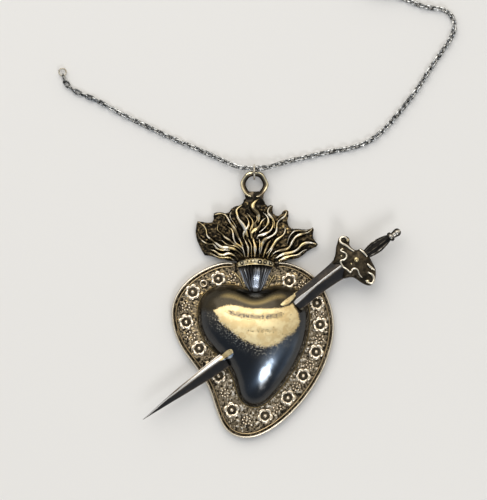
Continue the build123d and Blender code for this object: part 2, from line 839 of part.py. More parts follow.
def ring_arc(start, end, radius, bore=0):
    with BuildPart() as arc:
        with BuildSketch(ring_station(start)):
            Circle(radius)
            if bore:
                Circle(bore, mode=Mode.SUBTRACT)
        revolve(axis=Axis(clasp_middle, (0, 0, 1)), revolution_arc=end - start)
    return arc.part


def ring_knob(turn, start, length, radius):
    outwards = ring_station(turn).x_dir
    with BuildPart() as knob:
        with BuildSketch(Plane(clasp_middle + outwards * (clasp_radius + start), z_dir=outwards)):
            Circle(radius)
        extrude(amount=length)
    return knob.part


bolt_start = -clasp_mouth / 2 - clasp_bolt_reach
bolt_end = bolt_start + clasp_bolt_turn
slot_start = clasp_trigger_turn - clasp_slot_play
slot_end = clasp_trigger_turn + clasp_travel + clasp_slot_play
slot_reach = clasp_tube_radius * 2

with BuildPart() as clasp_ring:
    add(ring_arc(clasp_mouth / 2, 360 - clasp_mouth / 2, clasp_tube_radius))
    add(round_ring(eye_middle, (0, 0, 1), clasp_eye_radius, clasp_eye_wire))
    add(ring_arc(clasp_mouth / 2, clasp_mouth / 2 + clasp_cavity, clasp_bore_radius), mode=Mode.SUBTRACT)
    socket_start = -clasp_mouth / 2 - clasp_socket
    add(ring_arc(socket_start, socket_start + clasp_socket, clasp_bore_radius), mode=Mode.SUBTRACT)
    with BuildSketch(ring_station(slot_start)):
        Rectangle(slot_reach, clasp_slot_width, align=(Align.MIN, Align.CENTER))
    revolve(axis=Axis(clasp_middle, (0, 0, 1)), revolution_arc=slot_end - slot_start, mode=Mode.SUBTRACT)
clasp_ring.part.label = "clasp_ring"
export_step(clasp_ring.part, "parts/clasp_ring.step")

with BuildPart() as clasp_bolt:
    add(ring_arc(bolt_start, bolt_end, clasp_bolt_radius))
    add(ring_knob(clasp_trigger_turn, 0, clasp_trigger_length, clasp_trigger_radius))
    trigger_side = ring_station(clasp_trigger_turn).x_dir
    with Locations(clasp_middle + trigger_side * (clasp_radius + clasp_trigger_length)):
        Sphere(clasp_trigger_ball)
clasp_bolt.part.label = "clasp_bolt"
export_step(clasp_bolt.part, "parts/clasp_bolt.step")

spring_end = clasp_mouth / 2 + clasp_cavity - clasp_spring_play
spring_radius = clasp_bolt_radius
clasp_spring = ring_arc(
    bolt_end + clasp_spring_play, spring_end, spring_radius, spring_radius - clasp_spring_wall,
)
clasp_spring.label = "clasp_spring"
export_step(clasp_spring, "parts/clasp_spring.step")

print("links", left_count, free_count, right_count)
print("radii", min(left_radii), min(right_radii), min(tail_radii))
print("chain length", (left_count + right_count + 1) * link_step)
rolled_width = 2 * link_side * math.cos(math.radians(link_roll)) + link_wire
print("coil radii", coil_radius, inner_radius, "gap", coil_pitch - rolled_width)
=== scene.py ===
import math

import bmesh
import bpy
import numpy as np
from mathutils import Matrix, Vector, noise
from mathutils.geometry import delaunay_2d_cdt


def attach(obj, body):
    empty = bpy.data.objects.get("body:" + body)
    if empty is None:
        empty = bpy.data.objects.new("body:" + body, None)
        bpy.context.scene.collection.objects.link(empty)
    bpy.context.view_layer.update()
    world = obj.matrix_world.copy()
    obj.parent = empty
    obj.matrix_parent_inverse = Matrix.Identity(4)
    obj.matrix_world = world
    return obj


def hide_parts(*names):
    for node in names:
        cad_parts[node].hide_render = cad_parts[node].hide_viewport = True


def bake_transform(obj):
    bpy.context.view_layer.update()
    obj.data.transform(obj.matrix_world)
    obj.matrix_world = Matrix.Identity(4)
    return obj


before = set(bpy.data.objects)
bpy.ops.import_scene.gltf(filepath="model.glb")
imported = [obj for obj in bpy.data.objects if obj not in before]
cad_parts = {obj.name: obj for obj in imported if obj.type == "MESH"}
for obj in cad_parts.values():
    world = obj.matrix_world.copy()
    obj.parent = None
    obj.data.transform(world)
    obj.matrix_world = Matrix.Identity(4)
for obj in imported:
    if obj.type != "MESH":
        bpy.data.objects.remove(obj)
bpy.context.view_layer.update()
scene = bpy.context.scene
mm = 0.001

# Lengths below are in millimetres from the middle of the charm, with Z 0 on its flat back


# Helpers that turn rows of points into smooth meshes

def placed(middle, width, height, shares):
    return [(middle[0] + width * x, middle[1] + height * y) for x, y in shares]


def smoothLine(spots, count, closed=False):  # an even run of points on a smooth line through the spots
    spots = np.array(spots, float)
    if closed:
        spots = np.vstack([spots, spots[:1]])
    gaps = np.linalg.norm(np.diff(spots, axis=0), axis=1)
    slopes = np.diff(spots, axis=0) / gaps[:, None]
    n = len(gaps)
    rows, right = np.zeros((n + 1, n + 1)), np.zeros_like(spots)
    for i in range(1, n):
        rows[i, i - 1:i + 2] = gaps[i], 2 * (gaps[i - 1] + gaps[i]), gaps[i - 1]
        right[i] = 3 * (gaps[i] * slopes[i - 1] + gaps[i - 1] * slopes[i])
    if closed:
        rows[0, 0], rows[0, 1], rows[0, n - 1] = 2 * (gaps[-1] + gaps[0]), gaps[-1], gaps[0]
        right[0] = 3 * (gaps[0] * slopes[-1] + gaps[-1] * slopes[0])
        rows[n, n], rows[n, 0] = 1, -1
    else:
        rows[0, :2], rows[n, -2:] = (2, 1), (1, 2)
        right[0], right[n] = 3 * slopes[0], 3 * slopes[-1]
    leaves = np.linalg.solve(rows, right)
    fine = []
    for i in range(n):
        for t in np.linspace(0, 1, 24, endpoint=False):
            fine.append(
                (2 * t**3 - 3 * t**2 + 1) * spots[i] + (t**3 - 2 * t**2 + t) * gaps[i] * leaves[i]
                + (3 * t**2 - 2 * t**3) * spots[i + 1] + (t**3 - t**2) * gaps[i] * leaves[i + 1]
            )
    fine = np.array(fine + [spots[-1]])
    run = np.concatenate([[0], np.cumsum(np.linalg.norm(np.diff(fine, axis=0), axis=1))])
    wanted = np.linspace(0, run[-1], count, endpoint=not closed)
    return np.stack([np.interp(wanted, run, fine[:, k]) for k in range(fine.shape[1])], axis=1)


def insetLine(line, inset):  # a closed clockwise line drawn inwards
    along = np.roll(line, -1, axis=0) - np.roll(line, 1, axis=0)
    along /= np.linalg.norm(along, axis=1)[:, None]
    return line + inset * np.stack([along[:, 1], -along[:, 0]], axis=1)


def ease(value, low, high):
    part = np.clip((np.asarray(value, float) - low) / (high - low), 0, 1)
    return part * part * (3 - 2 * part)


def insideBy(line, x, y):  # how far a spot lies inside a closed line
    line = np.array(line)
    after = np.roll(line, -1, axis=0)
    side = after - line
    spot = np.array((x, y)) - line
    along = np.clip((spot * side).sum(1) / (side**2).sum(1), 0, 1)
    near = np.linalg.norm(spot - side * along[:, None], axis=1).min()
    level = np.where(side[:, 1] == 0, 1, side[:, 1])
    crossed = ((line[:, 1] > y) != (after[:, 1] > y)) & (x < line[:, 0] + (y - line[:, 1]) * side[:, 0] / level)
    return near if crossed.sum() % 2 else -near


def addRows(points, faces, rows, around=True, ends=True, loop=False):  # joins each row to the next
    start, across, count = len(points), len(rows[0]), len(rows)
    for row in rows:
        points.extend(tuple(spot) for spot in row)
    for i in range(count if loop else count - 1):
        for j in range(across if around else across - 1):
            here, there = start + i * across, start + (i + 1) % count * across
            faces.append((here + j, here + (j + 1) % across, there + (j + 1) % across, there + j))
    if ends and around and not loop:
        faces.append(tuple(start + j for j in reversed(range(across))))
        faces.append(tuple(start + (count - 1) * across + j for j in range(across)))


# draws a section along a line, with the section's wear times wearAndSheen
def sweep(points, faces, line, widths, heights, section, up=(0, 0, 1), closed=False, wearAndSheen=1.0):
    line = np.array(line, float)
    along = np.roll(line, -1, axis=0) - np.roll(line, 1, axis=0) if closed else np.gradient(line, axis=0)
    along /= np.linalg.norm(along, axis=1)[:, None]
    across = np.cross(along, up)
    across /= np.linalg.norm(across, axis=1)[:, None]
    raised = np.cross(across, along)
    widths, heights, wearAndSheen = (np.broadcast_to(values, len(line)) for values in (widths, heights, wearAndSheen))
    rows = []
    for i in range(len(line)):
        spots = [(line[i] + across[i] * a * widths[i] + raised[i] * b * heights[i], wear) for a, b, *wear in section]
        rows.append([(*spot, *(value * wearAndSheen[i] for value in wear)) for spot, wear in spots])
    addRows(points, faces, rows, loop=closed)


def roundSection(sides):
    return [(math.cos(2 * math.pi * i / sides), math.sin(2 * math.pi * i / sides)) for i in range(sides)]


def wornSection(sides):  # a round section that is worn on its upper side
    return [(a, b, max(b, 0) ** 0.7) for a, b in roundSection(sides)]


def circleLine(x, y, radius, count=32):
    return [(x + radius * a, y + radius * b) for a, b in roundSection(count)]


def addBead(points, faces, middle, radius, height, rings=7, sides=16):  # a low round bead on a flat
    rows = [[(x, y, middle[2] - height) for x, y in circleLine(middle[0], middle[1], radius, sides)]]
    for i in range(rings):
        turn = math.pi / 2 * i / rings
        level = middle[2] + height * math.sin(turn)
        rows.append([(x, y, level) for x, y in circleLine(middle[0], middle[1], radius * math.cos(turn), sides)])
    addRows(points, faces, rows)


def finishPiece(name, mesh, material, body, replaced=(), angle=40, outwards=True):
    form = bmesh.new()
    form.from_mesh(mesh)
    bmesh.ops.remove_doubles(form, verts=form.verts, dist=1e-7)
    if outwards:
        bmesh.ops.recalc_face_normals(form, faces=form.faces)
    form.to_mesh(mesh)
    form.free()
    mesh.materials.clear()
    mesh.materials.append(material)
    mesh.polygons.foreach_set("use_smooth", [True] * len(mesh.polygons))
    mesh.set_sharp_from_angle(angle=math.radians(angle))
    piece = bpy.data.objects.new(name, mesh)
    scene.collection.objects.link(piece)
    if body:
        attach(piece, body)
    if replaced:
        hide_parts(*replaced)
    return piece


def meshPiece(name, points, faces, material, slotName, replaced=(), angle=40, body="charm"):
    mesh = bpy.data.meshes.new(name)
    mesh.from_pydata([(x * mm, y * mm, z * mm) for x, y, z, *wear in points], [], faces)
    if len(points[0]) == 4:  # the fourth number says how worn bright a point is, and holds painted light and shade on some pieces
        mesh.attributes.new("wear", "FLOAT", "POINT").data.foreach_set("value", [float(point[3]) for point in points])
    return finishPiece(name, mesh, material, body, replaced, angle)


def rowsPiece(name, rows, material, slotName, replaced=(), angle=40, loop=False):
    points, faces = [], []
    addRows(points, faces, rows, loop=loop)
    return meshPiece(name, points, faces, material, slotName, replaced, angle)


def smoothCopy(name, node, material, body):  # a node's own shape with its facets shaded smooth
    return finishPiece(name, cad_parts[node].data.copy(), material, body, (node,), 35, False)


# Helpers for node trees

def addNode(tree, kind, sockets=None, **settings):
    node = tree.nodes.new(kind)
    for key, value in settings.items():
        setattr(node, key, value)
    for key, value in (sockets or {}).items():
        if isinstance(value, bpy.types.NodeSocket):
            tree.links.new(value, node.inputs[key])
        else:
            node.inputs[key].default_value = value
    return node


def mathNode(tree, operation, first, second=0.0, third=0.0, clamp=False):
    inputs = {0: first, 1: second, 2: third}
    return addNode(tree, "ShaderNodeMath", inputs, operation=operation, use_clamp=clamp).outputs[0]


def spread(tree, value, low, high, start=0.0, end=1.0):
    inputs = {"Value": value, "From Min": low, "From Max": high, "To Min": start, "To Max": end}
    return addNode(tree, "ShaderNodeMapRange", inputs, interpolation_type="SMOOTHSTEP").outputs[0]


def half(tree, value):
    return mathNode(tree, "MULTIPLY", value, 0.5)


def swing(tree, value, amount):  # a 0 to 1 value as a shift of up to half that amount either way
    return mathNode(tree, "MULTIPLY_ADD", value, amount, -amount / 2)


def mixColour(tree, factor, first, second):
    sockets = {0: factor}
    for key, value in ((6, first), (7, second)):
        sockets[key] = value if isinstance(value, bpy.types.NodeSocket) else (*value, 1)
    return addNode(tree, "ShaderNodeMix", sockets, data_type="RGBA").outputs[2]


def noiseAt(tree, place, size, detail=3.0, rough=0.6):
    inputs = {"Vector": place, "Scale": 1 / (size * mm), "Detail": detail, "Roughness": rough}
    return addNode(tree, "ShaderNodeTexNoise", inputs).outputs[0]


# Old silver: bright where it is worn and where light is painted into the wear, black in its recesses, with grain and
# fine wear

oldSilver = {
    "bright": (0.80, 0.74, 0.62),
    "worn": (0.50, 0.44, 0.34),
    "patina": (0.020, 0.017, 0.013),
    "tint": None,
    "tintSize": 7.0,
    "tintWay": None,
    "patchSize": 1.6,
    "wear": None,
    "wearGrain": 0.3,
    "wornRange": (0.42, 0.85),
    "blackRange": (0.0, 0.38),
    "patchRange": (0.38, 0.62),
    "tintRange": (0.42, 0.58),
    "tintRun": (-0.014, 0.006, -0.2, 0.8),
    "tintPatches": 0.4,
    "recess": 0.45,
    "recessLow": 0.35,
    "recessHigh": 0.85,
    "roughness": 0.24,
    "grainSize": 0.16,
    "grain": 0.25,
    "grainDepth": 0.02,
    "grainRoughness": 0.16,
    "recessRoughness": 0.25,
}


def silverFinish(name, **changes):
    look = {**oldSilver, **changes}
    material = bpy.data.materials.new(name)
    material.use_nodes = True
    tree = material.node_tree
    shader = tree.nodes["Principled BSDF"]
    shader.inputs["Metallic"].default_value = 1
    place = addNode(tree, "ShaderNodeTexCoord").outputs["Object"]
    patches = noiseAt(tree, place, look["patchSize"], 4.0)
    grain = noiseAt(tree, place, look["grainSize"], 3.0, 0.65)
    shade = addNode(tree, "ShaderNodeAmbientOcclusion", {"Distance": look["recess"] * mm}, samples=8).outputs["AO"]
    openness = mathNode(tree, "ADD", shade, swing(tree, grain, look["grain"]))
    openness = spread(tree, openness, look["recessLow"], look["recessHigh"])
    share = spread(tree, patches, *look["patchRange"])
    if look["wear"] is not None:  # the piece's own wear with any painted light and shade, shifted by the patches and the grain
        wearAndSheen = addNode(tree, "ShaderNodeAttribute", attribute_name="wear").outputs["Fac"]
        wearAndSheen = mathNode(tree, "ADD", wearAndSheen, swing(tree, patches, look["wear"]))
        wearAndSheen = mathNode(tree, "ADD", wearAndSheen, swing(tree, grain, look["wearGrain"]))
        share = spread(tree, wearAndSheen, *look["wornRange"])
        openness = mathNode(tree, "MULTIPLY", openness, spread(tree, wearAndSheen, *look["blackRange"]))
    bright = look["bright"]
    if look["tint"]:
        amount = spread(tree, noiseAt(tree, place, look["tintSize"]), *look["tintRange"])
        # a tint that grows along one way across the piece, as painted warm light
        if look["tintWay"]:
            along = {0: place, 1: look["tintWay"]}
            along = addNode(tree, "ShaderNodeVectorMath", along, operation="DOT_PRODUCT").outputs["Value"]
            along = spread(tree, along, *look["tintRun"])
            amount = mathNode(tree, "MULTIPLY_ADD", amount, look["tintPatches"], along, clamp=True)
        bright = mixColour(tree, amount, bright, look["tint"])
    face = mixColour(tree, share, look["worn"], bright)
    tree.links.new(mixColour(tree, openness, look["patina"], face), shader.inputs["Base Color"])
    uneven, dull = look["grainRoughness"], look["recessRoughness"]
    rough = mathNode(tree, "MULTIPLY_ADD", grain, uneven, look["roughness"] - uneven / 2)
    dull = mathNode(tree, "MULTIPLY_ADD", openness, -dull, dull)
    tree.links.new(mathNode(tree, "ADD", rough, dull, clamp=True), shader.inputs["Roughness"])
    bump = addNode(tree, "ShaderNodeBump", {"Height": grain, "Distance": look["grainDepth"] * mm, "Strength": 0.6})
    tree.links.new(bump.outputs[0], shader.inputs["Normal"])
    return material


# the ground grows golden toward the upper left as painted warm light
plateSilver = silverFinish(
    "matted ground", bright=(0.84, 0.79, 0.69), tint=(0.84, 0.62, 0.30), tintWay=(-0.8, 0.9, 0),
    worn=(0.27, 0.215, 0.14), wear=1.1, patchSize=1.4, recess=0.3, recessLow=0.4, roughness=0.3,
)
rimSilver = silverFinish(
    "rim silver", bright=(0.95, 0.86, 0.70), worn=(0.42, 0.34, 0.22), wear=0.2, recess=0.3, patchSize=3,
)
borderBronze = silverFinish(
    "border bronze", bright=(0.62, 0.47, 0.27), worn=(0.25, 0.17, 0.09), wear=0.5, recess=0.3, roughness=0.34,
)
flowerSilver = silverFinish(
    "flower silver", bright=(0.92, 0.80, 0.62), worn=(0.40, 0.32, 0.21), wear=0.25, recess=0.25,
)
flameSilver = silverFinish(
    "flame silver", bright=(0.97, 0.91, 0.78), tint=(0.90, 0.72, 0.38), tintSize=3.0, worn=(0.24, 0.19, 0.11),
    patina=(0.014, 0.012, 0.009), wear=0.5, recess=0.5, recessHigh=0.8, patchSize=1.2,
)
sheetSilver = silverFinish(
    "crown ground", bright=(0.66, 0.47, 0.20), worn=(0.13, 0.095, 0.05), patina=(0.014, 0.012, 0.009), wear=0.4,
    recess=0.6, roughness=0.32, patchSize=1.2,
)
collarSilver = silverFinish("collar silver", bright=(0.88, 0.78, 0.54), worn=(0.60, 0.48, 0.26), recess=0.25)
edgeSilver = silverFinish("edge silver", bright=(0.80, 0.64, 0.34), worn=(0.30, 0.21, 0.10), wear=0.3, recess=0.3)
# its blue-white bright colour makes the painted highlight down the neck
neckSilver = silverFinish(
    "neck silver", bright=(0.88, 0.92, 0.98), worn=(0.16, 0.155, 0.15), patina=(0.020, 0.019, 0.018), wear=0.12,
    recess=0.35, patchSize=3,
)
loopSilver = silverFinish("loop silver", bright=(0.92, 0.80, 0.52), worn=(0.22, 0.17, 0.11), wear=0.25, recess=0.6)
# its bright colour makes the painted highlight along the blade's ridge, its patina the painted shade over the lower
# facet
bladeSilver = silverFinish(
    "blade silver", bright=(0.92, 0.90, 0.86), worn=(0.17, 0.13, 0.09), patina=(0.022, 0.022, 0.023), wear=0.25,
    roughness=0.2, grainDepth=0.008, patchSize=2.5,
)
hiltSilver = silverFinish(
    "hilt silver", bright=(0.085, 0.066, 0.042), worn=(0.028, 0.023, 0.016), patina=(0.008, 0.007, 0.006), recess=0.8,
    recessHigh=0.95, grainSize=0.3, grainDepth=0.05, roughness=0.3,
)
gripSilver = silverFinish(
    "grip silver", bright=(0.86, 0.82, 0.74), worn=(0.16, 0.14, 0.11), patina=(0.016, 0.015, 0.014), wear=0.3,
    recess=0.3,
)
scrollSilver = silverFinish(
    "scroll silver", bright=(0.92, 0.84, 0.68), worn=(0.34, 0.27, 0.18), wear=0.35, recess=0.25,
)
ringSilver = silverFinish("ring silver", bright=(0.74, 0.69, 0.58), worn=(0.36, 0.32, 0.25), roughness=0.2)
chainSilver = silverFinish(
    "chain silver", bright=(0.80, 0.80, 0.78), worn=(0.07, 0.07, 0.066), patchSize=0.8, roughness=0.22, recess=0.5,
    recessLow=0.45, recessHigh=0.95,
)
claspSilver = silverFinish("clasp silver", bright=(0.82, 0.80, 0.76), worn=(0.62, 0.60, 0.56), roughness=0.16)
springSteel = silverFinish("spring steel", bright=(0.6, 0.6, 0.6), worn=(0.4, 0.4, 0.4), grainSize=0.1)
blackPatina = silverFinish("black patina", bright=(0.03, 0.025, 0.02), worn=(0.012, 0.01, 0.008), roughness=0.45)
print("finishes done")


# Camera square above the charm, as in the photograph

view = {"middle": (-7.1, 12.84), "height": 600, "frameHeight": 125, "focusLevel": 3, "sensor": 36, "reach": 10000}
camera = bpy.data.objects.new("camera", bpy.data.cameras.new("camera"))
scene.collection.objects.link(camera)
camera.location = (view["middle"][0] * mm, view["middle"][1] * mm, view["height"] * mm)
camera.data.sensor_width = view["sensor"]
camera.data.lens = view["sensor"] * (view["height"] - view["focusLevel"]) / view["frameHeight"]
camera.data.clip_end = view["reach"] * mm
scene.camera = camera


# The chain: two free stretches from the centre link, the right one wound up at its end

chain = {
    "linkLength": 2.65,
    "linkWidth": 1.5,
    "linkWire": 0.5,
    "linkPoints": 14,
    "wireSides": 6,
    "firstScale": 1.2,
    "roll": 45,
    "rollChange": 9,
    "level": 0.52,
    "leftLinks": 32,
    "rightLinks": 225,
    "leftEnd": (-52.13, 55.97, 0.68),
    "rightEnd": (38.37, 95.7, 0.75),
    "centre": (-4.4, 33.3, 2.05),
    "coilRadius": 9.3,
    "coilPitch": 1.5,
    "coilRise": 1.5,
    "coilTurns": 3,
    "coilMiddle": (28.3, 86.4),
    "pointsInTurn": 18,
}
leftRoute = [
    chain["centre"], (-7.6, 33.35, 1.85), (-10.4, 34.4, 1.2), (-13.4, 35.8, 0.7), (-18.0, 37.9, 0.52),
    (-25.0, 40.8, 0.52), (-31.7, 44.0, 0.52), (-38.2, 47.2, 0.52), (-43.5, 50.2, 0.52), (-47.3, 51.8, 0.52),
    (-49.9, 52.9, 0.52), (-51.8, 54.7, 0.68), chain["leftEnd"],
]
rightRoute = [
    chain["centre"], (-1.2, 33.4, 1.85), (1.6, 34.3, 1.2), (4.4, 35.2, 0.7), (8.5, 36.1, 0.52),
    (14.5, 37.5, 0.52), (20.0, 38.4, 0.52), (24.5, 40.0, 0.52), (28.5, 43.2, 0.52), (32.0, 47.4, 0.52),
    (35.8, 52.1, 0.52), (39.3, 57.6, 0.52), (42.0, 61.7, 0.52), (44.5, 65.1, 0.52), (46.0, 68.3, 0.52),
    (45.5, 71.4, 0.52), (43.0, 73.4, 0.52), (39.8, 73.6, 0.52), (37.0, 74.3, 0.52), (34.3, 75.5, 0.52),
    (31.5, 76.6, 0.52),
]


def coilPoints():
    points = []
    step = 2 * math.pi / chain["pointsInTurn"]
    growth = chain["coilPitch"] / (2 * math.pi)
    layerTurn = 2 * math.pi * chain["coilTurns"]
    innerRadius = chain["coilRadius"] - chain["coilPitch"] * chain["coilTurns"]
    total = 2 * layerTurn + math.pi
    for number in range(int(round(total / step)) + 1):
        wound = number * step
        if wound <= layerTurn:
            radius, level = chain["coilRadius"] - growth * wound, chain["level"]
        elif wound <= layerTurn + math.pi:
            radius = innerRadius
            level = chain["level"] + chain["coilRise"] * (1 - math.cos(wound - layerTurn)) / 2
        else:
            radius = innerRadius + growth * (wound - layerTurn - math.pi)
            level = chain["level"] + chain["coilRise"]
        turn = -math.pi / 2 - wound
        points.append((
            chain["coilMiddle"][0] + radius * math.cos(turn), chain["coilMiddle"][1] + radius * math.sin(turn), level,
        ))
    return points


def routeCurve(name, points):
    data = bpy.data.curves.new(name, "CURVE")
    data.dimensions = "3D"
    data.resolution_u = 8
    spline = data.splines.new("NURBS")
    spline.points.add(len(points) - 1)
    for spot, (x, y, z) in zip(spline.points, points):
        spot.co = (x * mm, y * mm, z * mm, 1)
    spline.order_u = 3
    spline.use_endpoint_u = True
    curve = bpy.data.objects.new(name, data)
    scene.collection.objects.link(curve)
    return curve


def centreline(curve):
    bpy.context.view_layer.update()
    mesh = bpy.data.meshes.new_from_object(curve.evaluated_get(bpy.context.evaluated_depsgraph_get()))
    line = [tuple(vertex.co) for vertex in mesh.vertices]
    bpy.data.meshes.remove(mesh)
    return line


def newTree(name, inputs):
    tree = bpy.data.node_groups.new(name, "GeometryNodeTree")
    tree.interface.new_socket("Geometry", in_out="INPUT", socket_type="NodeSocketGeometry")
    for label, value in inputs.items():
        kind = "NodeSocketInt" if isinstance(value, int) else "NodeSocketFloat"
        tree.interface.new_socket(label, in_out="INPUT", socket_type=kind).default_value = value
    tree.interface.new_socket("Geometry", in_out="OUTPUT", socket_type="NodeSocketGeometry")
    return tree, addNode(tree, "NodeGroupInput").outputs


def endTree(tree, geometry, material):
    whole = addNode(tree, "GeometryNodeRealizeInstances", {0: geometry}).outputs[0]
    painted = addNode(tree, "GeometryNodeSetMaterial", {0: whole, 2: material}).outputs[0]
    addNode(tree, "NodeGroupOutput", {0: painted})


def grownMesh(holder, tree, values):  # runs the tree on the holder and keeps a plain mesh
    growth = holder.modifiers.new("growth", "NODES")
    growth.node_group = tree
    for socket in tree.interface.items_tree:
        if socket.in_out == "INPUT" and socket.name in values:
            growth[socket.identifier] = values[socket.name]
    bpy.context.view_layer.update()
    mesh = bpy.data.meshes.new_from_object(holder.evaluated_get(bpy.context.evaluated_depsgraph_get()))
    holder.modifiers.remove(growth)
    bpy.data.objects.remove(holder)
    return mesh


def wireLoop(tree, radius, wire, turns, sides):  # a round loop of wire, flat in XY
    loop = addNode(tree, "GeometryNodeCurvePrimitiveCircle", {"Resolution": turns, "Radius": radius}).outputs[0]
    section = addNode(tree, "GeometryNodeCurvePrimitiveCircle", {"Resolution": sides, "Radius": wire}).outputs[0]
    return addNode(tree, "GeometryNodeCurveToMesh", {0: loop, 1: section}).outputs[0]


def lifted(tree, geometry, level):
    shift = addNode(tree, "ShaderNodeCombineXYZ", {2: level}).outputs[0]
    return addNode(tree, "GeometryNodeTransform", {0: geometry, "Translation": shift}).outputs[0]


def randomValue(tree, low, high, seed):
    node = addNode(tree, "FunctionNodeRandomValue", {"Seed": seed}, data_type="FLOAT")
    ends = [socket for socket in node.inputs if socket.enabled and socket.name in ("Min", "Max")]
    for socket, value in zip(ends, (low, high)):
        if isinstance(value, bpy.types.NodeSocket):
            tree.links.new(value, socket)
        else:
            socket.default_value = value
    return [socket for socket in node.outputs if socket.enabled][0]


def linkTree():
    tree, given = newTree("links along a route", {
        "Count": 10, "Link length": 0.0025, "Link width": 0.00127, "Wire": 0.00036,
        "Roll": 0.785, "Last roll": 0.785, "Roll change": 9.0, "Looseness": 0.1, "First scale": 1.0,
    })
    spots = addNode(tree, "GeometryNodeCurveToPoints", {
        0: given["Geometry"], "Count": mathNode(tree, "ADD", given["Count"], 1.0),
    }, mode="COUNT")
    number = addNode(tree, "GeometryNodeInputIndex").outputs[0]
    stored = addNode(tree, "GeometryNodeStoreNamedAttribute", {
        0: spots.outputs[0], "Name": "linkTurn", "Value": spots.outputs["Rotation"],
    }, data_type="QUATERNION", domain="POINT").outputs[0]
    first = mathNode(tree, "LESS_THAN", number, 0.5)
    kept = addNode(tree, "GeometryNodeDeleteGeometry", {0: stored, 1: first}, domain="POINT").outputs[0]

    # one link: a circle of wire drawn out along Z
    reach = mathNode(tree, "SUBTRACT", given["Link length"], given["Link width"])
    radius = half(tree, mathNode(tree, "SUBTRACT", given["Link width"], given["Wire"]))
    loop = {"Resolution": chain["linkPoints"], "Radius": radius}
    loop = addNode(tree, "GeometryNodeCurvePrimitiveCircle", loop).outputs[0]
    spot = addNode(tree, "ShaderNodeSeparateXYZ", {0: addNode(tree, "GeometryNodeInputPosition").outputs[0]}).outputs
    side = mathNode(tree, "SIGN", spot[0])
    along = mathNode(tree, "MULTIPLY_ADD", side, half(tree, reach), spot[0])
    drawn = addNode(tree, "ShaderNodeCombineXYZ", {0: spot[1], 1: 0.0, 2: along}).outputs[0]
    loop = addNode(tree, "GeometryNodeSetPosition", {0: loop, "Position": drawn}).outputs[0]
    wire = addNode(tree, "GeometryNodeCurvePrimitiveCircle", {
        "Resolution": chain["wireSides"], "Radius": half(tree, given["Wire"]),
    }).outputs[0]
    link = addNode(tree, "GeometryNodeCurveToMesh", {0: loop, 1: wire}).outputs[0]
    turn = addNode(tree, "GeometryNodeInputNamedAttribute", {0: "linkTurn"}, data_type="QUATERNION").outputs[0]
    early = mathNode(tree, "LESS_THAN", number, 0.5)
    size = mathNode(tree, "MULTIPLY_ADD", early, mathNode(tree, "SUBTRACT", given["First scale"], 1.0), 1.0)
    sockets = {0: kept, "Instance": link, "Rotation": turn, "Scale": size}
    laid = addNode(tree, "GeometryNodeInstanceOnPoints", sockets).outputs[0]

    # the roll changes sides from link to link and shifts near the end
    order = mathNode(tree, "ADD", number, 1.0)
    swing = mathNode(tree, "MULTIPLY_ADD", mathNode(tree, "MODULO", order, 2.0), -2.0, 1.0)
    left = mathNode(tree, "SUBTRACT", order, mathNode(tree, "SUBTRACT", given["Count"], given["Roll change"]))
    late = mathNode(tree, "DIVIDE", mathNode(tree, "MAXIMUM", left, 0.0), given["Roll change"])
    shake = randomValue(tree, mathNode(tree, "MULTIPLY", given["Looseness"], -1.0), given["Looseness"], 4)
    roll = mathNode(tree, "MULTIPLY_ADD", swing, given["Roll"], mathNode(tree, "MULTIPLY", late, given["Last roll"]))
    roll = addNode(tree, "ShaderNodeCombineXYZ", {2: mathNode(tree, "ADD", roll, shake)}).outputs[0]
    turned = addNode(tree, "GeometryNodeRotateInstances", {0: laid, "Rotation": roll, "Local Space": True})
    endTree(tree, turned.outputs[0], chainSilver)
    return tree


def chainPiece(name, tree, route, count, sign, upright, body, replaced):
    curve = routeCurve(name + " route", route)
    line = centreline(curve)
    roll = math.radians(chain["roll"])
    last = sign * roll * (-1) ** count
    mesh = grownMesh(curve, tree, {
        "Count": count, "Link length": chain["linkLength"] * mm, "Link width": chain["linkWidth"] * mm,
        "Wire": chain["linkWire"] * mm, "Roll": sign * roll, "Last roll": last if upright else -last,
        "Roll change": float(chain["rollChange"]), "First scale": 1.0 if upright else chain["firstScale"],
    })
    piece = finishPiece(name, mesh, chainSilver, body, replaced, 60)
    return len(mesh.polygons)


copied = {
    name: smoothCopy(name, node, material, body) for name, node, material, body, slotName in (
        ("endRing", "left_end_ring", ringSilver, "left_chain", "ring_silver"),
        ("claspLink", "clasp_link", ringSilver, "right_chain", "ring_silver"),
        ("claspRing", "clasp_ring", claspSilver, "right_chain", "clasp_silver"),
        ("claspBolt", "clasp_bolt", claspSilver, "bolt", "clasp_silver"),
        ("claspSpring", "clasp_spring", springSteel, None, "spring_steel"),  # no body; its transform is baked below
        ("centreLink", "centre_link", chainSilver, "ring", "chain_silver"),
    )
}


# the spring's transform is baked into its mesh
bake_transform(copied["claspSpring"])

coilRoute = coilPoints()
tailFall = 0.75 - chain["level"] - chain["coilRise"]
tailStart = coilRoute[-1]
tailRoute = [
    (tailStart[0] + 3.1, tailStart[1], tailStart[2]), (tailStart[0] + 7.3, tailStart[1], tailStart[2] + tailFall),
    chain["rightEnd"],
]
links = linkTree()
leftFaces = chainPiece(
    "leftChain", links, leftRoute, chain["leftLinks"], -1, True, "left_chain", ("left_chain_links",),
)
rightFaces = chainPiece(
    "rightChain", links, rightRoute + coilRoute + tailRoute, chain["rightLinks"], 1, False, "right_chain",
    ("right_chain_links", "chain_coil"),
)
print("chain done", leftFaces, rightFaces)


# Jump ring through the top of the hanging loop

jumpRing = {"middle": (-4.4, 32.33, 2.05), "radius": 1.78, "wire": 0.45, "around": 64, "sides": 14}
points, faces = [], []
x, y, z = jumpRing["middle"]
ring = [(x, b, c) for b, c in circleLine(y, z, jumpRing["radius"], jumpRing["around"])]
wire = jumpRing["wire"] / 2
sweep(points, faces, ring, wire, wire, roundSection(jumpRing["sides"]), up=(1, 0, 0), closed=True)
meshPiece("jumpRing", points, faces, ringSilver, "ring_silver", ("jump_ring",), body="ring")


# Outlines of the plate and of the raised heart on it

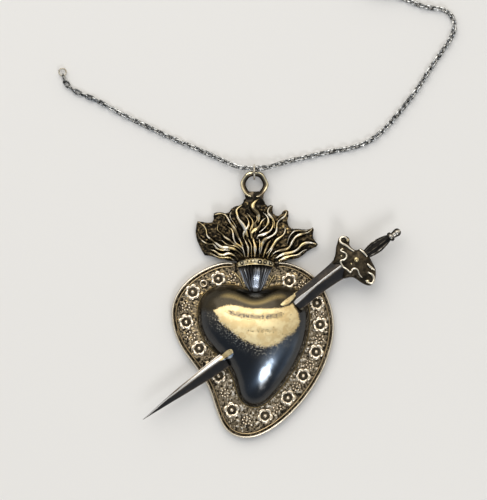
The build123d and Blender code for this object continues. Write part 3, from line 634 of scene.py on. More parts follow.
plate = {
    "middle": (-4.8, -12.2),
    "width": 40.8,
    "height": 44.3,
    "thickness": 1.0,
    "vent": 0.5,
    "ventPlace": (-4.6, -11.3),
    "bandRows": 56,
    "around": 1040,
    "matDepth": 0.30,
    "matSize": 0.72,
    "matMiddle": 0.25,
    "matGrain": [(1.0, (0, 0, 0), 0.42), (2.1, (7, 3, 1), 0.36), (3.7, (2, 9, 5), 0.30)],  # fineness, shift, share
    "underDome": 0.94,
    "backWear": 0.4,
    "edgeWear": 0.3,
    "groundWearAndLight": (0.32, 1.35, -0.16, 0.1),  # all over, by the grain, painted shade beside the rim, painted light beside the heart
    "rimWidth": 0.6,
    "rimHeight": 0.8,
    "borderInset": 0.95,
    "borderWidth": 0.36,
    "borderHeight": 0.38,
    "opening": 11.6,
    "openingTall": 6.6,
    "foot": (-4.05, 9.95),
}
plateShares = [
    (0.009, 0.477), (0.144, 0.498), (0.291, 0.469), (0.402, 0.393), (0.469, 0.283), (0.500, 0.147),
    (0.472, -0.022), (0.387, -0.191), (0.242, -0.358), (0.095, -0.462), (-0.046, -0.500), (-0.150, -0.465),
    (-0.218, -0.361), (-0.268, -0.225), (-0.350, -0.101), (-0.439, 0.012), (-0.490, 0.130), (-0.494, 0.249),
    (-0.433, 0.362), (-0.298, 0.458), (-0.150, 0.497),
]
dome = {
    "middle": (-4.6, -11.3),
    "width": 26.3,
    "height": 28.8,
    "peak": (0.0, 0.13),
    "rise": 8.4,
    "fullness": 0.42,
    "around": 260,
    "rings": 48,
    "spread": 0.8,
    "step": 0.32,
    "stepHeight": 0.24,
}
domeShares = [
    (0.015, 0.443), (0.158, 0.483), (0.319, 0.493), (0.433, 0.435), (0.493, 0.326), (0.500, 0.187),
    (0.462, 0.017), (0.386, -0.143), (0.258, -0.317), (0.129, -0.448), (0.003, -0.500), (-0.085, -0.461),
    (-0.139, -0.343), (-0.200, -0.192), (-0.356, -0.022), (-0.474, 0.135), (-0.500, 0.274), (-0.465, 0.409),
    (-0.327, 0.497), (-0.137, 0.487),
]
plateLine = smoothLine(
    placed(plate["middle"], plate["width"], plate["height"], plateShares), plate["around"], closed=True,
)
domeLine = smoothLine(placed(dome["middle"], dome["width"], dome["height"], domeShares), dome["around"], closed=True)
domeLine = insetLine(domeLine, -dome["spread"])
domePeak = np.array(placed(dome["middle"], dome["width"], dome["height"], [dome["peak"]])[0])


# Plate with a matted ground, its rim and the fine line inside the rim

def matted(x, y):  # hammered grain of the ground
    spot = Vector((x, y, 0)) / plate["matSize"]
    return sum(share * noise.noise(spot * fineness + Vector(shift)) for fineness, shift, share in plate["matGrain"])


def makePlate():
    hole = np.array(plate["ventPlace"])
    width, height = dome["width"] * plate["underDome"], dome["height"] * plate["underDome"]
    under = smoothLine(placed(dome["middle"], width, height, domeShares), plate["around"], closed=True)
    away = under - hole
    away /= np.linalg.norm(away, axis=1)[:, None]
    mouth = hole + away * plate["vent"]
    top, edge = plate["thickness"], plate["edgeWear"]
    rows = [[(x, y, 0, plate["backWear"]) for x, y in line] for line in (mouth, plateLine)]
    rows.append([(x, y, top, edge) for x, y in plateLine])
    base, byGrain, besideRim, besideHeart = plate["groundWearAndLight"]
    for i in range(1, plate["bandRows"] + 1):
        share = i / plate["bandRows"]
        row = []
        for x, y in plateLine * (1 - share) + under * share:
            grain = matted(x, y) if share < 0.999 else 0
            # wear by the grain, with painted shade beside the rim and painted light beside the heart
            wear = base + byGrain * grain + besideRim * (1 - ease(share, 0.12, 0.4))
            wear += besideHeart * ease(share, 0.5, 0.8)
            row.append((x, y, top + plate["matDepth"] * (grain - plate["matMiddle"]), wear))
        rows.append(row)
    rows.append([(x, y, top, edge) for x, y in mouth])
    rowsPiece("plate", rows, plateSilver, "plate_silver", ("base_plate",), loop=True)


def openLine(inset):  # the plate's line drawn in, without the run beside the neck
    line = insetLine(plateLine, inset)
    across, along = abs(line[:, 0] - plate["foot"][0]), abs(line[:, 1] - plate["foot"][1])
    shut = (across < plate["opening"] / 2) & (along < plate["openingTall"] / 2)
    count = len(line)
    start = [i for i in range(count) if shut[i] and not shut[(i + 1) % count]][0] + 1
    return [line[(start + i) % count] for i in range(count) if not shut[(start + i) % count]]


def makeBorder(name, inset, width, height, material, slotName, node):
    points, faces = [], []
    line = [(x, y, plate["thickness"]) for x, y in openLine(inset + width / 2)]
    section = [
        (math.cos(turn), math.sin(turn) ** 0.8, math.sin(turn) ** 2 * 1.1) for turn in np.linspace(0, math.pi, 11)[1:-1]
    ]
    section = [(1, -0.2, 0), (1, 0, 0)] + section + [(-1, 0, 0), (-1, -0.2, 0)]
    wear = [1 + 0.12 * noise.noise(Vector((x, y, 0)) * 0.5) for x, y, z in line]
    sweep(points, faces, line, width / 2, height * np.array(wear), section)
    meshPiece(name, points, faces, material, slotName, (node,))


makePlate()
makeBorder("rim", 0, plate["rimWidth"], plate["rimHeight"], rimSilver, "rim_silver", "rim_wire")
makeBorder(
    "innerBorder", plate["borderInset"], plate["borderWidth"], plate["borderHeight"], borderBronze, "border_bronze",
    "inner_border",
)
print("plate done")


# The sword's line, from its tip towards the pommel

sword = {
    "tip": (-32.157, -29.523, 4.4),
    "turn": 36.25,
    # distance, lower edge, upper edge, ridge, half thickness
    "stations": [
        (0.0, 0.02, 0.12, 0.07, 0.06), (4.0, -0.32, 0.55, 0.38, 0.22), (8.0, -0.66, 0.95, 0.72, 0.38),
        (12.0, -1.05, 1.30, 0.75, 0.50), (20.0, -1.75, 1.72, 0.85, 0.60), (28.0, -2.05, 1.90, 0.75, 0.66),
        (40.0, -1.50, 2.45, 0.70, 0.74), (48.0, -1.15, 2.95, 1.15, 0.80), (56.0, -0.85, 3.45, 1.70, 0.85),
        (60.0, -1.05, 3.75, 1.78, 0.88), (63.5, -1.55, 4.35, 1.75, 0.90),
    ],
    "flat": 0.13,
    "edge": 0.10,
    "entryFlat": (49, 3.0, 0.3),  # where the flat widens, along what length and by how much
    "shineRun": (6, 15, 26, 33),  # where the painted sheen on the upper facet starts and stops
    # across the blade from edge to ridge, or from ridge to edge: share of the way and wear, which paints a highlight
    # along the ridge and shade over the lower facet
    "lowerFacet": [(0.0, 0.30), (0.08, 0.06), (0.5, 0.0), (0.82, 0.02), (0.97, 0.25), (1.0, 1.0)],
    "upperFacet": [(0.0, 1.0), (0.05, 0.5), (0.2, 0.44), (0.5, 0.36), (0.85, 0.27), (1.0, 0.5)],
}
swordTurn = math.radians(sword["turn"])
swordAlong = np.array((math.cos(swordTurn), math.sin(swordTurn), 0))
swordSide = np.array((-math.sin(swordTurn), math.cos(swordTurn), 0))
swordLevel = sword["tip"][2]


def onSword(distance, aside=0.0, up=0.0):
    return np.array(sword["tip"]) + swordAlong * distance + swordSide * aside + np.array((0, 0, up))


def bladeRow(distance):
    table = np.array(sword["stations"])
    return [np.interp(distance, table[:, 0], table[:, k]) for k in range(1, 5)]


# Raised hollow heart, puffed like a pillow over its outline

def puffedHeights():  # heights of a skin blown up evenly inside the outline, on rings that shrink to the peak
    rings, around = dome["rings"], dome["around"]
    shares = 1 - (np.arange(rings) / rings) ** 1.5
    flat = [domePeak + (domeLine - domePeak) * share for share in shares]
    spots = np.vstack(flat + [domePeak[None, :]])
    top = len(spots) - 1
    triangles = []
    for i in range(rings):
        for j in range(around):
            a, b = i * around + j, i * around + (j + 1) % around
            if i == rings - 1:
                triangles.append((a, b, top))
            else:
                triangles += [(a, b, b + around), (a, b + around, a + around)]
    triangles = np.array(triangles)
    starts, ends, weights = [], [], []
    areas = np.zeros(len(spots))
    for turn in range(3):
        a, b, c = (triangles[:, (turn + k) % 3] for k in range(3))
        toB, toC = spots[b] - spots[a], spots[c] - spots[a]
        twice = abs(toB[:, 0] * toC[:, 1] - toB[:, 1] * toC[:, 0])
        starts.append(b)
        ends.append(c)
        weights.append((toB * toC).sum(1) / twice / 2)
        areas += np.bincount(a, twice / 6, len(spots))
    starts, ends, weights = (np.concatenate(part) for part in (starts, ends, weights))
    free = np.ones(len(spots))
    free[:around] = 0

    def pull(values):
        flow = weights * (values[starts] - values[ends])
        return free * (np.bincount(starts, flow, len(spots)) - np.bincount(ends, flow, len(spots)))

    blown = np.zeros(len(spots))
    rest = free * areas
    way = rest.copy()
    for step in range(900):
        pulled = pull(way)
        size = (rest @ rest) / (way @ pulled)
        blown += size * way
        after = rest - size * pulled
        way = after + (after @ after) / (rest @ rest) * way
        rest = after
        if np.abs(rest).max() < 1e-9:
            break
    share = (np.clip(blown / blown.max(), 0, 1)) ** dome["fullness"]
    return flat, plate["thickness"] + dome["rise"] * share


domeRings, domeLevels = puffedHeights()
domeGrid = domeLevels[:-1].reshape(dome["rings"], dome["around"])
domeTurns = np.unwrap(np.arctan2(domeLine[:, 1] - domePeak[1], domeLine[:, 0] - domePeak[0]))
domeReaches = np.linalg.norm(domeLine - domePeak, axis=1)


def domeLevel(x, y):  # the raised heart's height at a spot, or the plate's beside it
    away = np.array((x, y)) - domePeak
    turn = math.atan2(away[1], away[0])
    while turn > domeTurns[0]:
        turn -= 2 * math.pi
    while turn <= domeTurns[0] - 2 * math.pi:
        turn += 2 * math.pi
    places = np.append(domeTurns, domeTurns[0] - 2 * math.pi)[::-1]
    column = np.interp(turn, places, np.arange(dome["around"], -1, -1))
    low, part = int(column) % dome["around"], column - int(column)
    high = (low + 1) % dome["around"]
    reach = domeReaches[low] * (1 - part) + domeReaches[high] * part
    share = np.linalg.norm(away) / reach
    if share >= 1:
        return plate["thickness"]
    ring = (1 - share) ** (1 / 1.5) * dome["rings"]
    levels = np.append(domeGrid[:, low] * (1 - part) + domeGrid[:, high] * part, domeLevels[-1])
    return np.interp(ring, np.arange(dome["rings"] + 1), levels)


# Painted reflections on the heart: a gold patch of the warm light from above with light specks round its edge, an olive
# band along its top edge, a grey streak down its right flank and a steel-blue highlight with its halo low on the right
goldReflection = [
    (-14.7, -2.1), (-13.0, -1.4), (-11.1, -0.8), (-8.9, -0.9), (-6.7, -1.4), (-4.5, -1.7), (-1.7, -1.7), (1.1, -1.6),
    (3.0, -1.4), (5.2, -0.6), (6.4, -2.6), (6.9, -4.9), (6.3, -6.5), (5.2, -7.8), (3.3, -8.7), (2.3, -9.7),
    (0.8, -10.6), (-1.7, -11.2), (-3.6, -10.9), (-5.1, -10.3), (-6.7, -9.7), (-8.3, -8.7), (-10.1, -7.2),
    (-11.7, -5.9), (-13.1, -4.7), (-13.5, -3.6),
]
domeLook = {
    "gold": (0.93, 0.79, 0.47),
    "deepGold": (0.78, 0.61, 0.32),
    "olive": (0.34, 0.26, 0.12),
    "steel": (0.60, 0.72, 0.86),
    "cloudSize": 2.2,
    "speckSize": 0.26,
    "speckle": 1.7,
    "speck": (0.86, 0.80, 0.66),
    "looseSize": 0.34,
    "pit": (0.10, 0.08, 0.045),
    "pitSize": 1.1,
    "ripple": 0.07,
    # two soft troughs, darker bands in the painted gold reflection: level, bend, its middle, width, where it starts and
    # ends, and the gold that it takes
    "troughs": [(-3.75, 0.02, -3, 0.95, (-13, -10), (2, 4), 0.58), (-7.2, 0, 0, 0.6, (-8, -5), (0, 3), 0.38)],
    "streak": (-1.7, -17.2),
    "halo": (0.2, -13.8),
    "streakWay": (0.616, 0.788),
}


def domeFinish():
    # its wide recess reach darkens the foot of the wall, partly patina and partly painted shade
    material = silverFinish(
        "dome silver", bright=(0.062, 0.062, 0.062), worn=(0.036, 0.034, 0.031), patina=(0.016, 0.015, 0.014), wear=0.2,
        patchSize=4.0, roughness=0.18, grain=0.1, grainSize=0.3, grainDepth=0.006, recess=1.2, recessLow=0.2,
        recessHigh=0.8,
    )
    # a near-black base, partly oxide and partly painted dark reflection, under the painted gold, olive and steel-blue
    # reflections and light specks
    tree = material.node_tree
    shader = tree.nodes["Principled BSDF"]
    place = addNode(tree, "ShaderNodeTexCoord").outputs["Object"]
    base = shader.inputs["Base Color"].links[0].from_socket
    smooth = shader.inputs["Roughness"].links[0].from_socket
    painted = addNode(tree, "ShaderNodeAttribute", attribute_name="paintedReflection").outputs
    masks = addNode(tree, "ShaderNodeSeparateColor", {0: painted["Color"]}).outputs
    speckle = swing(tree, noiseAt(tree, place, domeLook["speckSize"], 2.0, 0.6), domeLook["speckle"])
    cloudy = noiseAt(tree, place, domeLook["cloudSize"])
    gold = mixColour(tree, spread(tree, cloudy, 0.4, 0.6), domeLook["deepGold"], domeLook["gold"])
    gold = mixColour(tree, spread(tree, masks[0], 0.55, 0.8), domeLook["deepGold"], gold)
    olive = mixColour(tree, masks[1], base, domeLook["olive"])
    steely = mixColour(tree, masks[2], olive, domeLook["steel"])
    share = spread(tree, mathNode(tree, "ADD", masks[0], speckle), 0.46, 0.54)
    coloured = mixColour(tree, share, steely, gold)
    specks = spread(tree, noiseAt(tree, place, domeLook["looseSize"], 1.0), 0.60, 0.65)
    coloured = mixColour(tree, mathNode(tree, "MULTIPLY", specks, painted["Alpha"]), coloured, domeLook["speck"])
    pits = addNode(tree, "ShaderNodeTexVoronoi", {"Vector": place, "Scale": 1 / (domeLook["pitSize"] * mm)})
    pits = spread(tree, pits.outputs["Distance"], 0.05, 0.12)
    coloured = mixColour(tree, pits, domeLook["pit"], coloured)
    tree.links.new(coloured, shader.inputs["Base Color"])
    smooth = mathNode(tree, "MULTIPLY_ADD", masks[2], 0.12, smooth)
    tree.links.new(mathNode(tree, "MULTIPLY_ADD", share, 0.3, smooth, clamp=True), shader.inputs["Roughness"])
    return material


domeSilver = domeFinish()


def ripple(x, y):  # how deep a spot lies in each trough
    depths = []
    for level, bend, middle, width, first, last, share in domeLook["troughs"]:
        away = y - level - bend * (x - middle) ** 2
        depths.append(math.exp(-(away / width) ** 2) * ease(x, *first) * (1 - ease(x, *last)))
    return depths


def domePaint(x, y):  # painted reflections on the raised heart: gold, olive and steel shares, and its light specks
    inside = insideBy(goldReflection, x, y)
    soft = 0.45 + 0.5 * ease(-y, 3.5, 7.0)
    trough, second = ripple(x, y)
    taken = [look[-1] for look in domeLook["troughs"]]
    gold = 0.5 + 0.5 * np.clip(inside / soft, -1, 1) - taken[0] * trough * ease(inside, 0, 0.8) - taken[1] * second
    specks = ease(inside, -3.4, -0.2) * ease(-y, 1.5, 5) * (1 - ease(x, 3, 6)) * (1 - ease(inside, 0, 0.6))
    deep = insideBy(domeLine, x, y)
    stripe = math.exp(-((deep - 2.5) / 0.6) ** 2) * ease(x, -14, -10.5) * (1 - ease(x, 2, 4.5))
    olive = ease(y, -3.0, -1.0) * max(0.75 * stripe, 0.08)
    streak = 0.12 * math.exp(-((deep - 3.0) / 0.7) ** 2) * ease(-y, 6, 11) * ease(x, -1, 3)
    way = np.array(domeLook["streakWay"])
    for name, reach, side, strength in (("streak", 3.2, 0.85, 1.0), ("halo", 6.2, 1.9, 0.3)):
        away = np.array((x, y)) - domeLook[name]
        along, aside = away @ way, away[0] * way[1] - away[1] * way[0]
        streak += strength * math.exp(-(along / reach) ** 2 - (aside / side) ** 2)
    return gold, olive, streak, specks


def paintReflections(piece, paint):
    paintedReflection = piece.data.attributes.new("paintedReflection", "FLOAT_COLOR", "POINT")
    colours = []
    for vertex in piece.data.vertices:
        colours += [float(np.clip(value, 0, 1)) for value in paint(vertex.co.x / mm, vertex.co.y / mm)]
    paintedReflection.data.foreach_set("color", colours)


def beside(x, y):  # a spot's distance along the sword and aside of it
    away = np.array((x, y, 0)) - sword["tip"]
    return away @ swordAlong, away @ swordSide


def notched(x, y, z):  # the skin opened where the blade goes in
    distance, aside = beside(x, y)
    low = bladeRow(distance)[0]
    share = ease(distance, 47.2, 48.0) * ease(aside, low - 0.5, low) * (1 - ease(aside, 1.3, 2.0))
    return z - share * max(z - swordLevel - 0.2, 0)


def makeDome():
    top, step, rise = plate["thickness"], dome["step"], dome["stepHeight"]
    points, faces, rows = [], [], []
    section = ((step, -0.2, 0), (step, 0.1, 0.2), (step - 0.1, rise, 0.8), (0.1, rise, 0.4), (-0.2, 0.1, 0))
    for out, level, wear in section:
        rows.append([(x, y, top + level, wear) for x, y in insetLine(domeLine, -out)])
    addRows(points, faces, rows, ends=False)
    meshPiece("heartStep", points, faces, edgeSilver, "dome_silver")
    rows = [[(x, y, top - 0.2, 0.0) for x, y in domeLine]]
    for ring, levels in zip(domeRings, domeGrid):
        row = []
        for (x, y), z in zip(ring, levels):
            trough, second = ripple(x, y)
            dent = 0.035 * noise.noise(Vector((x, y, 0)) * 0.7) - domeLook["ripple"] * (trough + 0.7 * second)
            z = notched(x, y, max(z, top) + dent * ease(z, top, top + 1))
            # brighter with height as wear, and darker low on the wall and along the top edge as painted shade
            worn = (0.05 + 0.95 * ease(z, top + 0.8, top + 4.5)) * (1 - 0.75 * ease(y, -3.2, -1.4))
            row.append((x, y, z, worn))
        rows.append(row)
    paintReflections(rowsPiece("heart", rows, domeSilver, "dome_silver", ("heart_dome",), 50), domePaint)


makeDome()


# Lips of the heart, drawn up round the blade where it goes in and comes out

lips = {
    "exitLip": {"span": (23.2, 28.4), "across": (-0.55, 1.75)},
    "entryLip": {"span": (51.5, 44.6), "across": (1.9, 3.3)},
    "cover": 0.16,
    "swell": 0.26,
    "foot": -1.2,
    "footWear": 0.1,
    "start": 0.2,
    "widening": 0.75,
    "rounding": 0.3,
    "rows": 30,
    "columns": 17,
}


def bladeTop(distance, aside):
    low, high, ridge, thick = bladeRow(distance)
    return thick * max(1 - max((aside - ridge) / (high - ridge), (ridge - aside) / (ridge - low)), 0)


def lipWidth(share):  # narrow where the lip starts on the blade, and rounded at its end
    past = max((share - 1 + lips["rounding"]) / lips["rounding"], 0)
    return math.sqrt(max(1 - past**2, 0.01)) * (lips["start"] + (1 - lips["start"]) * ease(share, 0, lips["widening"]))


def makeLips():
    for name in ("exitLip", "entryLip"):
        look, rows = lips[name], []
        low, high = look["across"]
        for share in np.linspace(0, 1, lips["rows"]):
            distance = look["span"][0] + (look["span"][1] - look["span"][0]) * share
            narrow = lipWidth(share)
            reach = (high - low) / 2 * narrow
            middle = high - (high - low) / 2 * (0.5 + 0.5 * narrow)
            cover = lips["cover"] * (ease(share, 0, 0.3) - 0.5)
            row = []
            for part in np.linspace(0, 1, lips["columns"]):
                aside = middle + reach * (2 * part - 1)
                x, y, z = onSword(distance, aside, bladeTop(distance, aside) + cover)
                swell = lips["swell"] * math.sin(math.pi * part) ** 0.7 * narrow
                row.append((x, y, max(z, domeLevel(x, y) + swell - 0.06), 0.2 + 0.9 * math.sin(math.pi * part)))
            feet = [(*onSword(distance, middle + side * reach, lips["foot"]), lips["footWear"]) for side in (-1, 1)]
            rows.append([feet[0], *row, feet[1]])
        paintReflections(rowsPiece(name, rows, domeSilver, "dome_silver", (), 60), lipPaint)


def lipPaint(x, y):
    # painted reflections: gold above the blade's ridge line, a steel-blue highlight below it
    distance, aside = beside(x, y)
    ridge = bladeRow(distance)[2] - 0.5 * (distance < 40)
    gold = ease(aside, ridge - 0.15, ridge + 0.15)
    return 0.75 * gold, 0, 0.75 * (1 - gold), 0


makeLips()
print("heart done")


# Blade with a narrow flat along its ridge

def makeBlade():
    rows = []
    place, length, wider = sword["entryFlat"]
    starts, stops = sword["shineRun"][:2], sword["shineRun"][2:]
    for distance in np.concatenate([np.linspace(0, 3, 8)[:-1], np.linspace(3, sword["stations"][-1][0], 60)]):
        low, high, ridge, thick = bladeRow(distance)
        flat = min(sword["flat"] + wider * math.exp(-((distance - place) / length) ** 2), (high - low) / 6)
        # painted sheen along part of the upper facet
        wearAndSheen = 0.2 + 1.5 * ease(distance, *starts) * (1 - ease(distance, *stops))
        edge = min(sword["edge"], thick / 3)
        row = [(low, -edge, 0.1)]
        for share, wear in sword["lowerFacet"]:
            row.append((low + (ridge - flat - low) * share, edge + (thick - edge) * share, wear))
        for share, wear in sword["upperFacet"]:
            wear = wear if share == 0 else wear * wearAndSheen
            row.append((ridge + flat + (high - ridge - flat) * share, thick + (edge - thick) * share, wear))
        row += [(high, -edge, 0.1), (ridge + flat, -thick, 0.4), (ridge - flat, -thick, 0.4)]
        rows.append([(*onSword(distance, a, b), wear) for a, b, wear in row])
    rowsPiece("blade", rows, bladeSilver, "blade_silver", ("sword_blade",), 12)


makeBlade()


# Hilt: a cast guard with scrolls, a bead, a fluted grip, its ring and the pommel

hilt = {
    "thickness": 2.0,
    "crown": 0.45,
    "scrollRadius": 0.33,
    "gripStart": 68.3,
    "gripLength": 8.2,
    "gripRadius": 1.62,
    "gripEnd": 0.75,
    "gripAside": 0.42,
    "gripFlutes": 8,
    "gripDepth": 0.2,
    "gripRows": 34,
}
guardLine = [
    (16.42, 15.05), (16.73, 15.88), (17.77, 16.34), (18.92, 16.09), (19.37, 15.26), (19.33, 14.32), (20.17, 13.17),
    (21.31, 12.86), (22.04, 13.17), (23.08, 12.55), (24.33, 11.09), (24.96, 9.84), (25.79, 8.17), (25.89, 6.51),
    (25.58, 5.05), (24.54, 4.01), (23.08, 4.26), (21.62, 5.15), (20.17, 5.99), (18.92, 5.90), (17.80, 5.75),
    (17.46, 8.70), (15.20, 9.30), (15.69, 11.30), (15.98, 13.38),
]
scrolls = [  # line, thickness share
    ([(18.75, 15.36), (18.19, 16.02), (17.35, 16.02), (16.94, 15.47), (17.14, 14.74), (17.98, 14.22), (18.81, 13.69),
      (19.54, 13.07), (20.48, 12.51)], 1.0),
    ([(17.56, 13.13), (17.10, 12.75), (17.98, 12.24), (18.50, 11.72), (18.50, 10.99), (17.98, 10.47), (17.14, 10.15),
      (17.46, 9.01), (17.77, 8.59), (18.71, 7.97), (19.54, 7.34), (19.96, 7.97), (20.69, 8.28), (21.31, 7.86),
      (21.73, 6.82), (22.46, 5.99)], 0.85),
    ([(21.83, 12.97), (22.77, 12.24), (23.71, 11.19)], 1.0),
    ([(23.71, 9.42), (24.64, 8.49), (25.58, 7.86)], 1.0),
    ([(23.81, 7.34), (24.64, 6.92), (25.22, 6.30), (25.30, 5.26), (24.85, 4.60), (23.92, 4.80), (23.29, 5.26)], 1.0),
]
hiltBeads = [  # place, radius and height
    (21.0, 10.47, 0.70, 0.55), (18.80, 15.30, 0.45, 0.40), (23.81, 5.05, 0.48, 0.40), (17.50, 13.05, 0.36, 0.30),
    (17.30, 11.35, 0.22, 0.2), (19.75, 9.4, 0.25, 0.2),
]


def fillShape(line, spacing, levelAt, bottom, edgeDrop, wearAt=None):  # a closed slab with a worked top
    line = [tuple(spot) for spot in line]
    xs, ys = [spot[0] for spot in line], [spot[1] for spot in line]
    inner = []
    for i, x in enumerate(np.arange(min(xs), max(xs), spacing)):
        for y in np.arange(min(ys) + (i % 2) * spacing / 2, max(ys), spacing):
            if insideBy(line, x, y) > spacing * 0.6:
                inner.append(Vector((x, y)))
    edges = [(i, (i + 1) % len(line)) for i in range(len(line))]
    filled = delaunay_2d_cdt([Vector(spot) for spot in line] + inner, edges, [], 1, 1e-6)
    spots, triangles = filled[0], filled[2]
    count = len(spots)
    points, faces = [], []
    for spot in spots:
        inside = max(insideBy(line, spot.x, spot.y), 0)
        rounded = edgeDrop * (1 - min(inside / (edgeDrop * 1.2), 1)) ** 2
        wear = (wearAt(spot.x, spot.y),) if wearAt else ()
        points.append((spot.x, spot.y, levelAt(spot.x, spot.y) - rounded, *wear))
    points += [(x, y, bottom, *wear) for x, y, z, *wear in points]
    faces += [tuple(face) for face in triangles]
    faces += [tuple(count + k for k in reversed(face)) for face in triangles]
    used = {(face[k], face[(k + 1) % len(face)]) for face in triangles for k in range(len(face))}
    faces += [(b, a, a + count, b + count) for a, b in sorted(used) if (b, a) not in used]
    return points, faces


def guardTop(x, y):
    inside = max(insideBy(guardLine, x, y), 0)
    hump = hilt["crown"] * ease(inside, 0, 2.6)
    return swordLevel + hilt["thickness"] / 2 - 0.2 + hump + 0.12 * noise.noise(Vector((x, y, 4)) * 1.4)


def makeGuard():
    outline = smoothLine(guardLine, 150, closed=True)
    points, faces = fillShape(outline, 0.34, guardTop, swordLevel - hilt["thickness"] / 2, 0.5)
    meshPiece("guard", points, faces, hiltSilver, "hilt_silver", ("sword_guard",), 50)
    points, faces = [], []
    for spots, share in scrolls:
        line = smoothLine(spots, 14 * len(spots))
        levels = np.array([guardTop(x, y) for x, y in line])
        levels = np.convolve(np.pad(levels, 6, mode="edge"), np.ones(13) / 13, mode="valid")
        taper = np.sin(math.pi * np.linspace(0.08, 0.98, len(line))) ** 0.6
        size = hilt["scrollRadius"] * share * (0.35 + 0.65 * taper)
        sweep(points, faces, np.column_stack([line, levels + 0.12]), size, size * 1.2, wornSection(12))
    meshPiece("scrolls", points, faces, scrollSilver, "hilt_silver")
    points, faces = [], []
    for x, y, radius, height in hiltBeads:
        addBead(points, faces, (x, y, guardTop(x, y) - 0.05), radius, height)
    meshPiece("hiltBeads", points, faces, collarSilver, "hilt_silver", ("guard_bead",))


def makeGrip():
    rows = []
    sides = hilt["gripFlutes"] * 8
    for share in np.linspace(0, 1, hilt["gripRows"]):
        distance = hilt["gripStart"] + hilt["gripLength"] * share
        swell = math.sin(math.pi * share)
        radius = hilt["gripEnd"] + (hilt["gripRadius"] - hilt["gripEnd"]) * max(swell, 0) ** 0.9
        deep = hilt["gripDepth"] * ease(swell, 0.15, 0.6)
        row = []
        for i in range(sides):
            turn = 2 * math.pi * i / sides
            flute = abs(math.sin(turn * hilt["gripFlutes"] / 2))
            reach = radius * (1 - deep * flute**0.7)
            worn = max(1 - 1.7 * flute**0.8, 0) * ease(swell, 0.2, 0.9)
            worn *= 0.55 + 1.2 * noise.noise(Vector((turn * 3, distance * 0.9, 2)))
            row.append((*onSword(distance, hilt["gripAside"] + reach * math.cos(turn), reach * math.sin(turn)), worn))
        rows.append(row)
    rowsPiece("grip", rows, gripSilver, "hilt_silver", ("sword_grip",), 60)


def turnedPiece(name, profile, node, aside):
    rows = [
        [(*onSword(distance, aside + radius * a, radius * b), 0.06 + 0.6 * ease(wear, 0.82, 1.0))
         for a, b, wear in wornSection(36)]
        for distance, radius in profile
    ]
    rowsPiece(name, rows, gripSilver, "hilt_silver", (node,), 40)


makeGuard()
makeGrip()
turnedPiece("gripRing", [
    (76.3, 0.6), (76.35, 0.95), (76.5, 1.12), (76.7, 1.2), (76.95, 1.2), (77.2, 1.14), (77.35, 0.95), (77.4, 0.6),
], "grip_ring", 0.3)
turnedPiece("pommelKnob", [(77.3, 0.72), (77.6, 0.80), (77.9, 0.86)] + [
    (78.7 - 1.02 * math.cos(turn), 1.02 * math.sin(turn)) for turn in np.linspace(1.05, math.pi - 0.02, 14)
], "pommel", 0.25)
print("sword done")


# Flame crown: ridged tongues on one cast sheet

crown = {
    "seed": 4,
    "outline": [
        (-11.0, 10.2), (-12.0, 10.5), (-13.5, 10.8), (-15.2, 11.3), (-16.8, 11.5), (-17.5, 12.6), (-18.0, 13.6),
        (-18.5, 14.8), (-19.0, 16.1), (-19.1, 17.8), (-18.9, 19.3), (-18.6, 20.1), (-17.7, 19.9), (-16.2, 19.7),
        (-15.0, 19.8), (-14.6, 20.4), (-14.7, 21.3), (-14.5, 22.0), (-13.8, 22.3), (-12.7, 22.2), (-11.6, 22.0),
        (-10.7, 22.3), (-10.2, 23.1), (-9.2, 23.8), (-8.0, 24.1), (-7.3, 24.7), (-7.0, 25.5), (-6.5, 25.8),
        (-2.5, 25.8), (-2.1, 25.5), (-1.7, 24.5), (-1.0, 23.9), (-0.3, 24.2), (0.3, 24.0), (0.2, 23.1), (0.3, 22.1),
        (1.0, 21.5),
        (1.7, 21.4), (2.3, 21.9), (2.9, 22.6), (3.7, 22.9), (4.2, 22.5), (4.2, 21.3), (3.9, 20.1), (4.2, 19.0),
        (4.9, 18.2), (6.2, 18.2), (7.5, 18.0), (8.8, 18.0), (9.7, 18.2), (10.3, 18.6), (10.5, 17.8), (10.3, 16.8),
        (10.4, 15.8), (10.8, 15.1), (11.5, 14.3), (11.1, 13.6), (10.3, 13.3), (9.4, 12.8), (8.6, 12.3), (7.8, 11.5),
        (6.7, 10.8), (5.0, 10.5), (3.5, 10.3), (2.3, 10.0), (0.75, 9.95), (0.75, 8.55), (-8.85, 8.55), (-8.85, 9.95),
    ],
    "base": 1.0,
    "sheetTop": 1.70,
    "mottle": 0.45,
    "tongue": 0.84,
    "ridge": 2.0,
    # across a tongue, up it, and wear
    "section": [(1.0, 0.0, 0.0), (0.97, 0.42, 0.0), (0.88, 0.60, 0.15), (0.76, 0.66, 0.28), (0.66, 0.64, 0.05),
                (0.55, 0.76, 0.25), (0.42, 0.92, 0.85), (0.22, 0.99, 1.1), (0.05, 1.02, 1.1)],
}
